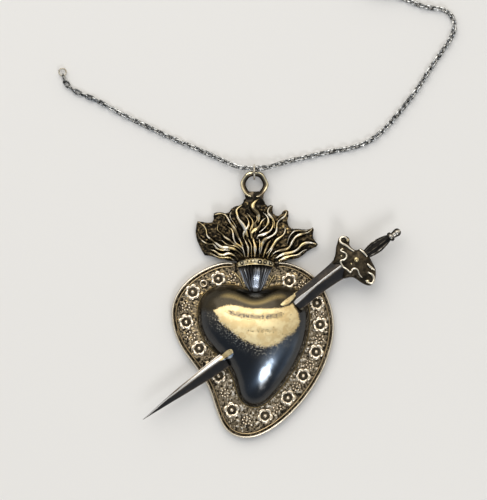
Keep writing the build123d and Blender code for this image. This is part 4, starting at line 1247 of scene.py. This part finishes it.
tongues = [  # line, width share, height share
    ([(-7.3, 11.3), (-8.0, 12.1), (-8.8, 12.7), (-10.1, 13.3), (-11.3, 13.5), (-12.3, 13.5), (-13.2, 14.0),
      (-14.3, 14.8), (-15.3, 15.6), (-16.2, 16.5), (-16.4, 17.7), (-17.2, 19.0), (-18.5, 19.9)], 1.0, 1.1),
    ([(-7.3, 12.3), (-8.0, 13.1), (-9.2, 13.8), (-11.0, 14.1), (-11.8, 14.6), (-12.5, 15.2), (-13.5, 15.3),
      (-14.3, 15.6)], 0.65, 0.9),
    ([(-10.5, 12.8), (-11.7, 12.9), (-12.7, 12.9), (-13.7, 13.3), (-14.7, 14.3), (-15.6, 14.3), (-16.5, 14.6),
      (-17.5, 15.3), (-18.3, 16.3), (-18.5, 17.2)], 0.85, 0.95),
    ([(-8.5, 10.3), (-9.1, 11.2), (-10.0, 11.8), (-11.0, 12.0), (-12.2, 11.6), (-13.5, 12.0), (-14.3, 12.6),
      (-15.3, 12.9), (-16.3, 13.5)], 0.95, 1.0),
    ([(-9.5, 10.2), (-10.2, 10.8), (-11.5, 11.0), (-13.0, 11.0), (-14.5, 11.6), (-15.8, 12.1), (-16.8, 12.2)],
     0.6, 0.8),
    ([(-8.5, 13.8), (-10.0, 14.8), (-11.0, 15.6), (-11.8, 16.1), (-12.6, 17.0), (-13.5, 17.7), (-13.6, 18.5),
      (-13.5, 19.2), (-14.0, 19.8)], 0.85, 0.95),
    ([(-7.3, 13.8), (-8.0, 15.3), (-8.7, 16.6), (-9.3, 18.1), (-10.1, 19.2), (-10.8, 20.3), (-11.3, 21.2),
      (-12.2, 21.8), (-13.3, 21.9), (-14.3, 21.6)], 1.1, 1.1),
    ([(-7.0, 12.8), (-8.0, 13.8), (-9.0, 14.6), (-9.5, 15.6), (-9.7, 16.8), (-10.0, 17.9), (-10.8, 18.5),
      (-11.5, 19.2)], 0.9, 1.05),
    ([(-6.0, 16.1), (-6.6, 17.6), (-7.3, 19.2), (-8.3, 20.6), (-8.7, 21.8), (-8.8, 22.8), (-8.1, 23.6),
      (-7.5, 24.1)], 1.15, 1.1),
    ([(-8.7, 17.3), (-9.0, 18.6), (-9.6, 19.7), (-10.2, 20.6), (-10.5, 21.5), (-10.0, 22.5)], 0.6, 0.85),
    ([(-7.0, 15.6), (-7.1, 16.8), (-6.6, 17.8), (-6.0, 18.7), (-5.8, 19.7), (-6.1, 20.7), (-6.9, 21.4)], 0.85, 1.0),
    ([(-5.4, 16.8), (-5.3, 18.0), (-4.8, 19.0), (-4.8, 20.0), (-5.3, 21.0), (-6.2, 22.0)], 0.7, 0.9),
    ([(-3.5, 19.6), (-3.3, 21.2), (-3.7, 22.2), (-4.5, 23.0), (-4.8, 23.8), (-4.3, 24.8), (-3.3, 25.6)], 1.2, 1.15),
    ([(-4.2, 17.1), (-3.9, 18.3), (-4.2, 19.5), (-3.7, 20.3), (-3.9, 21.3), (-4.4, 22.0)], 0.8, 0.95),
    ([(-5.0, 15.8), (-5.1, 17.0), (-4.4, 17.8), (-3.5, 18.4), (-2.9, 19.3), (-2.3, 20.3), (-1.6, 20.8)], 1.0, 1.1),
    ([(-3.7, 15.6), (-3.4, 16.4), (-2.5, 16.6), (-1.5, 17.0), (-0.6, 17.5), (0.0, 18.3), (0.3, 19.3), (0.0, 20.2)],
     1.0, 1.05),
    ([(-3.1, 17.3), (-1.8, 18.4), (-1.0, 19.5), (-0.9, 20.6), (-1.5, 21.6), (-2.4, 22.4)], 0.7, 0.9),
    ([(0.7, 18.3), (0.6, 19.6), (0.2, 20.6), (-0.5, 21.4), (-1.0, 22.2), (-0.8, 23.2), (0.0, 23.9)], 0.9, 1.0),
    ([(-3.0, 11.7), (-2.6, 13.2), (-2.3, 14.6), (-1.7, 15.5), (-0.8, 16.0), (0.3, 16.6), (1.0, 17.3), (1.2, 18.5),
      (1.4, 19.7), (2.2, 20.5), (3.2, 21.3), (3.7, 22.5)], 1.05, 1.1),
    ([(-1.5, 11.8), (-0.3, 13.2), (0.5, 14.3), (1.0, 15.1), (1.9, 15.9), (2.8, 16.6), (3.3, 17.6), (3.2, 18.7)],
      0.9, 0.95),
    ([(-0.2, 11.2), (0.3, 11.9), (1.0, 12.4), (2.3, 12.8), (3.7, 13.1), (4.4, 13.6), (4.9, 14.5), (5.6, 15.7),
      (6.5, 16.5), (7.8, 16.9), (8.9, 17.2), (9.7, 17.7), (10.2, 18.4)], 1.05, 1.1),
    ([(3.8, 14.3), (4.2, 15.7), (4.8, 16.8), (5.6, 17.5), (6.8, 17.7), (8.2, 17.6), (9.3, 17.9)], 0.7, 0.85),
    ([(1.0, 10.8), (2.3, 11.6), (4.0, 12.1), (5.5, 12.5), (6.7, 13.3), (7.4, 14.1), (8.3, 14.6), (9.5, 14.7),
      (11.1, 14.3)], 1.0, 1.05),
    ([(1.7, 10.1), (2.8, 10.7), (4.0, 11.2), (5.5, 11.5), (6.7, 11.8), (7.5, 12.5), (8.8, 13.0)], 0.9, 1.0),
    ([(-6.0, 11.1), (-5.9, 12.3), (-6.0, 13.6), (-6.5, 14.8), (-6.9, 15.7)], 0.8, 1.1),
    ([(-6.7, 11.1), (-7.0, 12.3), (-7.4, 13.6), (-8.0, 14.6)], 0.6, 0.95),
    ([(-4.3, 11.1), (-4.2, 12.8), (-4.3, 14.2), (-4.6, 15.2), (-4.8, 16.2)], 1.15, 1.2),
    ([(-5.1, 11.1), (-5.1, 12.8), (-5.2, 14.1), (-5.7, 15.2), (-6.0, 16.1)], 0.6, 0.95),
    ([(-3.1, 11.1), (-3.1, 12.8), (-3.0, 14.3), (-3.1, 15.3), (-3.5, 16.1)], 0.65, 1.0),
    ([(-2.2, 11.0), (-1.7, 12.6), (-1.2, 13.8), (-0.9, 14.6), (-0.2, 15.3)], 0.9, 1.1),
    ([(-1.2, 10.8), (-0.6, 12.0), (0.0, 13.0), (0.7, 13.8)], 0.7, 1.0),
]


def sheetTop(x, y):
    spot = Vector((x, y, 0))
    return crown["sheetTop"] + crown["mottle"] * (noise.noise(spot * 1.2) + 0.6 * noise.noise(spot * 2.9))


def sheetWear(x, y):
    spot = Vector((x, y, 0))
    gilt = 0.22 * math.exp(-((x - 0.5) / 5.5) ** 2 - ((y - 17) / 5) ** 2)
    return 0.10 + gilt + 0.5 * noise.noise(spot * 1.2) + 0.9 * noise.noise(spot * 2.9)


def makeCrown():
    noise.seed_set(crown["seed"])  # unseeded, noise_vector follows the clock
    line, corners = [], crown["outline"]
    for here, there in zip(corners, corners[1:] + corners[:1]):
        here, there = np.array(here), np.array(there)
        steps = max(int(np.linalg.norm(there - here) / 0.4), 1)
        for k in range(steps):
            spot = here + (there - here) * k / steps
            line.append(spot + 0.1 * np.array(noise.noise_vector(Vector((*spot, 2)) * 0.9)[:2]))
    points, faces = fillShape(line, 0.36, sheetTop, crown["base"], 0.4, sheetWear)
    meshPiece("crownSheet", points, faces, sheetSilver, "flame_silver", ("flame_crown",), 60)

    section = crown["section"] + [(-a, b, wear) for a, b, wear in reversed(crown["section"])]
    points, faces = [], []
    for spots, wide, tall in tongues:
        count = 8 * len(spots)
        line = smoothLine(spots, count)
        share = np.linspace(0, 1, count)
        width = crown["tongue"] * wide * (0.55 + 0.45 * ease(share, 0.0, 0.3)) * (1 - 0.8 * share**4)
        height = crown["ridge"] * tall * (0.88 + 0.2 * np.sin(math.pi * share)) * (1 - 0.3 * share**4)
        width *= 0.8 + 0.2 * ease(line[:, 0], -11, -7)
        width *= [0.92 + 0.6 * noise.noise(Vector((x, y, 3)) * 0.45) for x, y in line]
        wearAndSheen = [np.clip(0.8 + 1.3 * noise.noise(Vector((x, y, 7)) * 0.42), 0.25, 1.15) for x, y in line]
        base = np.full(count, crown["base"])
        sweep(points, faces, np.column_stack([line, base]), width, height, section, wearAndSheen=wearAndSheen)
    meshPiece("flames", points, faces, flameSilver, "flame_silver", (), 60)


makeCrown()
print("flames done")


# Collar band bowed across the foot of the flames, with punched circles

collar = {
    "middle": -4.05,
    "halfWidth": 4.8,
    "level": 1.9,
    "rise": 3.2,
    "front": (8.45, 9.15),
    "back": (9.65, 10.75),
    # along the band's width, down from its top
    "section": [(0, 0.25), (0.03, 0.1), (0.09, 0.0), (0.16, 0.02), (0.22, 0.16), (0.5, 0.10), (0.78, 0.16),
                (0.84, 0.02), (0.91, 0.0), (0.97, 0.1), (1, 0.25)],
    # place and size of each punched circle
    "punches": [(-7.49, 9.62, 1.0), (-3.04, 9.85, 1.15), (-1.71, 9.78, 1.0), (-0.34, 9.52, 1.0), (-6.1, 9.95, 0.4),
                (-5.2, 10.05, 0.45), (-4.3, 10.05, 0.4)],
}


def collarLevel(x):
    return collar["level"] + collar["rise"] * math.sqrt(max(1 - ((x - collar["middle"]) / collar["halfWidth"]) ** 2, 0))


def makeCollar():
    rows = []
    for turn in np.linspace(0, math.pi, 41):
        x = collar["middle"] + collar["halfWidth"] * math.cos(turn)
        bow = math.sin(turn) ** 2
        front = collar["front"][0] + (collar["front"][1] - collar["front"][0]) * bow
        back = collar["back"][0] + (collar["back"][1] - collar["back"][0]) * bow
        bottom = crown["base"]
        row = [(x, front, bottom)]
        for share, drop in collar["section"]:
            row.append((x, front + (back - front) * share, max(collarLevel(x) - drop, bottom + 0.01)))
        rows.append(row + [(x, back, bottom)])
    rowsPiece("collar", rows, collarSilver, "collar_silver", ("collar_band",))
    dark, beads = ([], []), ([], [])
    for x, y, size in collar["punches"]:
        ring = [(a, b, collarLevel(a) - 0.12) for a, b in circleLine(x, y, 0.36 * size, 18)]
        sweep(*dark, ring, 0.15 * size, 0.08, roundSection(8), closed=True)
        addBead(*beads, (x, y, collarLevel(x) - 0.14), 0.2 * size, 0.16, 5, 12)
    meshPiece("punchedRings", *dark, blackPatina, "collar_silver")
    meshPiece("punchedBeads", *beads, collarSilver, "collar_silver")


makeCollar()


# Fluted neck that narrows to the cleft of the heart

neck = {
    "middle": -4.2,
    "start": 9.0,
    "flutes": 15,
    "depth": 0.09,
    # a painted blue-white highlight down the middle of the neck: its turn, width and widening
    "paintedHighlight": (1.40, 0.12, 0.06),
    # distance, half width, height
    "rows": [(0.0, 4.6, 3.5), (0.8, 4.2, 3.75), (1.6, 3.8, 3.75), (2.6, 3.35, 3.5), (3.8, 2.9, 3.1), (5.0, 2.4, 2.8),
             (6.0, 1.8, 2.4), (6.8, 1.1, 2.0), (7.3, 0.4, 1.6)],
    "edges": [[(-9.4, 7.2), (-8.6, 6.4), (-7.8, 5.3), (-7.2, 4.0), (-6.9, 3.1)],
              [(0.6, 6.4), (-0.1, 5.4), (-0.9, 4.1), (-1.5, 3.1)]],
}


def makeNeck():
    rows = []
    sides = neck["flutes"] * 10
    for distance, width, height in smoothLine(neck["rows"], 40):
        row = []
        for i in range(sides + 1):
            turn = math.pi * i / sides
            flute = abs(math.sin(neck["flutes"] * turn)) ** 0.7
            shrink = 1 - neck["depth"] * flute
            ragged = 0.18 * noise.noise(Vector((turn * 4, 3, 0))) * (1 - distance / 7.1)
            middle, wide, widening = neck["paintedHighlight"]
            paintedHighlight = math.exp(-((turn - middle - 0.02 * distance) / (wide + widening * distance)) ** 2)
            paintedHighlight *= ease(distance, 0.2, 1.2) * (1 - 0.4 * flute * (1 - ease(distance, 2.5, 4)))
            streaks = 0.7 + 1.1 * noise.noise(Vector((turn * 9, distance * 0.25, 5)))
            # the brighter of the wear along the flute crests and the painted highlight
            worn = max(1.2 * paintedHighlight, (1 - flute) ** 1.3 * 1.1 * streaks * ease(distance, 0.4, 1.6))
            row.append((
                neck["middle"] + width * shrink * math.cos(turn), neck["start"] - distance + ragged,
                plate["thickness"] - 0.1 + height * shrink * math.sin(turn), worn,
            ))
        rows.append(row)
    rowsPiece("neck", rows, neckSilver, "neck_silver", ("fluted_neck",), 60)
    points, faces = [], []
    for spots in neck["edges"]:
        line = smoothLine(spots, 30)
        taper = 0.3 + 0.7 * np.sin(math.pi * np.linspace(0.05, 0.95, 30))
        sweep(points, faces, np.column_stack([line, np.full(30, plate["thickness"])]), 0.24 * taper, 0.42 * taper,
              wornSection(10))
    meshPiece("neckEdges", points, faces, edgeSilver, "neck_silver")


makeNeck()
print("neck done")


# Hanging loop with a ridge round its front, its stem and a tab behind the crown

loop = {
    "middle": (-4.4, 29.25, 1.6),
    "radius": 2.75,
    "corner": 0.022,
    # out from the middle of the band, up
    "section": [(0.62, -0.36, 0.1), (0.68, 0.0, 0.1), (0.63, 0.34, 0.25), (0.51, 0.56, 0.8), (0.38, 0.68, 1.05),
                (0.22, 0.66, 0.95), (0.05, 0.50, 0.35), (-0.25, 0.34, 0.12), (-0.5, 0.2, 0.05), (-0.65, 0.0, 0.0),
                (-0.62, -0.25, 0.0), (-0.3, -0.5, 0.1), (0.3, -0.6, 0.1)],
    # along Y, half width, bottom, top
    "stem": [(27.5, 1.9, 1.0, 2.0), (27.0, 2.35, 0.8, 2.25), (26.2, 2.3, 0.5, 2.35), (25.2, 2.1, 0.25, 2.3),
             (24.2, 2.0, 0.2, 2.2), (22.8, 1.6, 0.2, 1.9), (21.0, 1.0, 0.4, 1.6), (19.5, 0.5, 0.8, 1.3)],
    "stemSection": [(-0.8, 0), (-1, 0.15), (-1, 0.6), (-0.85, 0.85), (-0.5, 0.9), (-0.2, 0.98), (0, 1.0), (0.2, 0.98),
                    (0.5, 0.9), (0.85, 0.85), (1, 0.6), (1, 0.15), (0.8, 0)],
    "roughness": 0.22,
    # its sides along X and along Y, bottom and top
    "tab": (-6.3, -2.5, 14.9, 24.4, 0.2, 1.0),
    "tabEdge": 0.15,
    "tabWear": 0.3,
}


def makeLoop():
    points, faces, rows = [], [], []
    x, y, z = loop["middle"]
    for turn in np.linspace(-math.pi, math.pi, 120, endpoint=False):
        corner = 1 + loop["corner"] * math.cos(6 * (turn + 0.05)) + 0.03 * math.exp(-((turn + 0.05) / 0.16) ** 2)
        row = []
        for out, up, wear in loop["section"]:
            reach = (loop["radius"] + out) * (corner if out > 0 else 1 + (corner - 1) * 0.6)
            # darker over the lower right of the loop
            wear *= 1 - 0.7 * math.exp(-((turn + 0.95) / 0.45) ** 2)
            row.append((x + reach * math.cos(turn), y + reach * math.sin(turn), z + up, wear))
        rows.append(row)
    addRows(points, faces, rows, loop=True)
    rows = []
    for along, wide, bottom, top in smoothLine(loop["stem"], 40):
        row = []
        for a, b in loop["stemSection"]:
            rough = noise.noise(Vector((a * 2, along, 1)) * 1.3)
            level = bottom + (top - bottom) * b + (loop["roughness"] * rough if b > 0.5 else 0)
            row.append((x + wide * a, along, level, 0.06 + 0.5 * rough))
        rows.append(row)
    addRows(points, faces, rows)
    low, high, near, far, bottom, top = loop["tab"]
    edge, rows = loop["tabEdge"], []
    for inset, level in ((edge, bottom), (0, bottom + edge), (0, top)):
        corners = [(low + inset, near + inset), (high - inset, near + inset), (high - inset, far), (low + inset, far)]
        rows.append([(*corner, level, loop["tabWear"]) for corner in corners])
    addRows(points, faces, rows)
    meshPiece("hangingLoop", points, faces, loopSilver, "loop_silver", ("hanging_loop",), 50)


makeLoop()
print("loop done")


# Rosettes and small flowers along the middle of the band

flowers = {
    "bandWidth": 33.55,
    "bandHeight": 36.55,
    "rosette": {
        "Across": 4.0, "Petal wire": 0.82, "Height": 0.32, "Ring": 1.55, "Ring wire": 0.2, "Bead": 1.0, "Petals": 5,
    },
    "small": {"Across": 2.4, "Petal": 0.58, "Height": 0.28, "Bead": 0.52, "Petals": 8},
    "notch": 0.24,
    "petalSharpness": 0.7,
    "petalThinnest": 0.35,
    "petalSwell": 0.75,
    "petalFlatness": 0.62,
    "plainRing": {"radius": 0.78, "width": 0.24, "height": 0.34, "level": 0.16},
}
rosetteShares = [
    (-0.257, 0.488), (-0.448, 0.397), (-0.496, 0.192), (-0.399, 0.011), (-0.254, -0.178), (-0.156, -0.412),
    (0.093, -0.452), (0.262, -0.328), (0.377, -0.177), (0.474, -0.013), (0.504, 0.174), (0.480, 0.322),
    (0.272, 0.475),
]
flowerShares = [
    (-0.366, 0.456), (-0.499, 0.298), (-0.459, 0.096), (-0.156, 0.497), (-0.206, -0.297), (-0.046, -0.485),
    (0.183, -0.400), (0.327, -0.252), (0.429, -0.102), (0.499, 0.076), (0.503, 0.252), (0.374, 0.440),
]


def wearing(tree, geometry, value):
    sockets = {0: geometry, "Name": "wear", "Value": value}
    return addNode(tree, "GeometryNodeStoreNamedAttribute", sockets, data_type="FLOAT", domain="POINT").outputs[0]


def endFlowers(tree, given, parts):
    joined = addNode(tree, "GeometryNodeJoinGeometry")
    for part in parts:
        tree.links.new(part, joined.inputs[0])
    flower = addNode(tree, "GeometryNodeRealizeInstances", {0: joined.outputs[0]}).outputs[0]
    turn = randomValue(tree, 0.0, given["Turn"], 11)
    least, most = (mathNode(tree, way, 1.0, given["Size spread"]) for way in ("SUBTRACT", "ADD"))
    size = randomValue(tree, least, most, 5)
    laid = addNode(tree, "GeometryNodeInstanceOnPoints", {
        0: given["Geometry"], "Instance": flower, "Scale": size,
        "Rotation": addNode(tree, "ShaderNodeCombineXYZ", {2: turn}).outputs[0],
    }).outputs[0]
    endTree(tree, laid, flowerSilver)
    return tree


def rosetteTree():  # a thick scalloped line of petals round a thin ring and a bead
    tree, given = newTree("rosette", {
        "Across": 0.0039, "Petal wire": 0.0005, "Height": 0.0003, "Ring": 0.0017, "Ring wire": 0.0002, "Bead": 0.0007,
        "Petals": 5, "Turn": 0.5, "Size spread": 0.05,
    })
    radius = half(tree, mathNode(tree, "SUBTRACT", given["Across"], given["Petal wire"]))
    loop = addNode(tree, "GeometryNodeCurvePrimitiveCircle", {"Resolution": 70, "Radius": radius}).outputs[0]
    position = addNode(tree, "GeometryNodeInputPosition").outputs[0]
    spot = addNode(tree, "ShaderNodeSeparateXYZ", {0: position}).outputs
    turn = mathNode(tree, "ARCTAN2", spot[1], spot[0])
    lobes = mathNode(tree, "COSINE", mathNode(tree, "MULTIPLY", turn, half(tree, given["Petals"])))
    lobes = mathNode(tree, "POWER", mathNode(tree, "ABSOLUTE", lobes), flowers["petalSharpness"])
    size = mathNode(tree, "MULTIPLY_ADD", lobes, flowers["notch"], 1 - flowers["notch"])
    drawn = addNode(tree, "ShaderNodeVectorMath", {0: position, "Scale": size}, operation="SCALE").outputs[0]
    kept = addNode(tree, "GeometryNodeCaptureAttribute", {0: loop})
    kept.capture_items.new("FLOAT", "lobes")
    tree.links.new(lobes, kept.inputs[1])
    loop = addNode(tree, "GeometryNodeSetPosition", {0: kept.outputs[0], "Position": drawn}).outputs[0]
    section = {"Resolution": 10, "Radius": half(tree, given["Petal wire"])}
    section = addNode(tree, "GeometryNodeCurvePrimitiveCircle", section).outputs[0]
    thick = mathNode(tree, "MULTIPLY_ADD", kept.outputs[1], flowers["petalSwell"], flowers["petalThinnest"])
    petals = addNode(tree, "GeometryNodeCurveToMesh", {0: loop, 1: section, "Scale": thick}).outputs[0]
    flat = (1, 1, flowers["petalFlatness"])
    petals = addNode(tree, "GeometryNodeTransform", {0: petals, "Scale": flat}).outputs[0]
    bead = {"Segments": 18, "Rings": 10, "Radius": half(tree, given["Bead"])}
    bead = addNode(tree, "GeometryNodeMeshUVSphere", bead).outputs[0]
    ring = wireLoop(tree, half(tree, given["Ring"]), half(tree, given["Ring wire"]), 28, 8)
    raised = mathNode(tree, "MULTIPLY", given["Height"], 0.3)
    deep, wide = mathNode(tree, "MULTIPLY", given["Height"], 1.2), mathNode(tree, "MULTIPLY", radius, 0.8)
    base = {"Vertices": 40, "Radius": wide, "Depth": deep}
    base = addNode(tree, "GeometryNodeMeshCylinder", base).outputs[0]
    return endFlowers(tree, given, [
        lifted(tree, wearing(tree, petals, 1.05), given["Height"]), lifted(tree, wearing(tree, ring, 0.45), raised),
        lifted(tree, wearing(tree, bead, 1.1), given["Height"]), lifted(tree, wearing(tree, base, 0.08), raised),
    ])


def smallTree():  # beads round a bead
    tree, given = newTree("small flower", {
        "Across": 0.0024, "Petal": 0.0006, "Height": 0.0003, "Bead": 0.0005, "Petals": 8, "Turn": 0.5,
        "Size spread": 0.05,
    })
    ring = half(tree, mathNode(tree, "SUBTRACT", given["Across"], given["Petal"]))
    circle = addNode(tree, "GeometryNodeMeshCircle", {"Vertices": given["Petals"], "Radius": ring}).outputs[0]
    bead = {"Segments": 14, "Rings": 8, "Radius": half(tree, given["Bead"])}
    bead = wearing(tree, addNode(tree, "GeometryNodeMeshUVSphere", bead).outputs[0], 0.95)
    grain = {"Segments": 12, "Rings": 7, "Radius": half(tree, given["Petal"])}
    grain = wearing(tree, addNode(tree, "GeometryNodeMeshUVSphere", grain).outputs[0], 0.85)
    grains = addNode(tree, "GeometryNodeInstanceOnPoints", {0: circle, "Instance": grain}).outputs[0]
    return endFlowers(tree, given, [lifted(tree, bead, given["Height"]), grains])


def makeFlowers(name, tree, shares, sizes, replaced, turn, spread):
    spots = placed(plate["middle"], flowers["bandWidth"], flowers["bandHeight"], shares)
    mesh = bpy.data.meshes.new(name + " places")
    mesh.from_pydata([(x * mm, y * mm, plate["thickness"] * mm) for x, y in spots], [], [])
    holder = bpy.data.objects.new(name + " places", mesh)
    scene.collection.objects.link(holder)
    values = {key: value if isinstance(value, int) else value * mm for key, value in sizes.items()}
    grown = grownMesh(holder, tree, {**values, "Turn": turn, "Size spread": spread})
    finishPiece(name, grown, flowerSilver, "charm", replaced, 50)


rosette = rosetteTree()
upperShares, sixPetals = rosetteShares[:4] + rosetteShares[10:], {**flowers["rosette"], "Petals": 6}
makeFlowers("upperRosettes", rosette, upperShares, sixPetals, ("rosettes",), 1.05, 0.03)
makeFlowers("lowerRosettes", rosette, rosetteShares[4:10], flowers["rosette"], (), 1.2, 0.03)
makeFlowers("smallFlowers", smallTree(), flowerShares[1:], flowers["small"], ("small_flowers",), 0.8, 0.08)

points, faces = [], []
x, y = placed(plate["middle"], flowers["bandWidth"], flowers["bandHeight"], flowerShares[:1])[0]
look = flowers["plainRing"]
ring = [(a, b, plate["thickness"] + look["level"]) for a, b in circleLine(x, y, look["radius"])]
sweep(points, faces, ring, look["width"], look["height"], wornSection(12), closed=True)
meshPiece("plainRing", points, faces, flowerSilver, "flower_silver")
print("flowers done")


# Pale floor and soft light, with the brighter side behind the loop

studio = {
    "floorSize": 6000,
    "floorColour": (0.80, 0.79, 0.77),
    "horizon": (0.90, 0.90, 0.90),
    "farSide": (1.20, 1.11, 0.96),
    "nearSide": (0.30, 0.36, 0.45),
    "overhead": (0.68, 0.68, 0.68),
    "strength": 0.74,
    "lamps": [
        {"name": "key", "place": (-160, 420, 520), "size": 700, "power": 2.45},
        {"name": "fill", "place": (140, -390, 420), "size": 200, "power": 0.75},
    ],
}
floorHalf = studio["floorSize"] / 2
floorMaterial = bpy.data.materials.new("pale floor")
floorMaterial.use_nodes = True
floorMaterial.node_tree.nodes["Principled BSDF"].inputs["Base Color"].default_value = (*studio["floorColour"], 1)
floorMaterial.node_tree.nodes["Principled BSDF"].inputs["Roughness"].default_value = 0.8
floorMesh = bpy.data.meshes.new("floor")
floorMesh.from_pydata(
    [(x * floorHalf * mm, y * floorHalf * mm, -0.12 * mm) for x, y in ((-1, -1), (1, -1), (1, 1), (-1, 1))], [],
    [(0, 1, 2, 3)],
)
floorMesh.materials.append(floorMaterial)
floor = bpy.data.objects.new("floor", floorMesh)
scene.collection.objects.link(floor)

world = bpy.data.worlds.new("studio")
scene.world = world
world.use_nodes = True
sky = world.node_tree
toSky = addNode(sky, "ShaderNodeTexCoord").outputs["Generated"]
direction = addNode(sky, "ShaderNodeSeparateXYZ", {0: toSky}).outputs
glow = mixColour(sky, spread(sky, direction[1], -0.5, 0.5), studio["nearSide"], studio["farSide"])
glow = mixColour(sky, spread(sky, direction[2], 0.85, 1.0), glow, studio["overhead"])
glow = mixColour(sky, spread(sky, direction[2], 0.1, 0.3), studio["horizon"], glow)
sky.links.new(glow, sky.nodes["Background"].inputs["Color"])
sky.nodes["Background"].inputs["Strength"].default_value = studio["strength"]

for lamp in studio["lamps"]:
    light = bpy.data.lights.new(lamp["name"], "AREA")
    light.size = lamp["size"] * mm
    light.energy = lamp["power"]
    holder = bpy.data.objects.new(lamp["name"], light)
    scene.collection.objects.link(holder)
    holder.location = [value * mm for value in lamp["place"]]
    holder.rotation_euler = (Vector((0, 0, 0)) - holder.location).to_track_quat("-Z", "Y").to_euler()
scene.view_settings.view_transform = "Standard"
print("stage done")

bpy.context.view_layer.update()
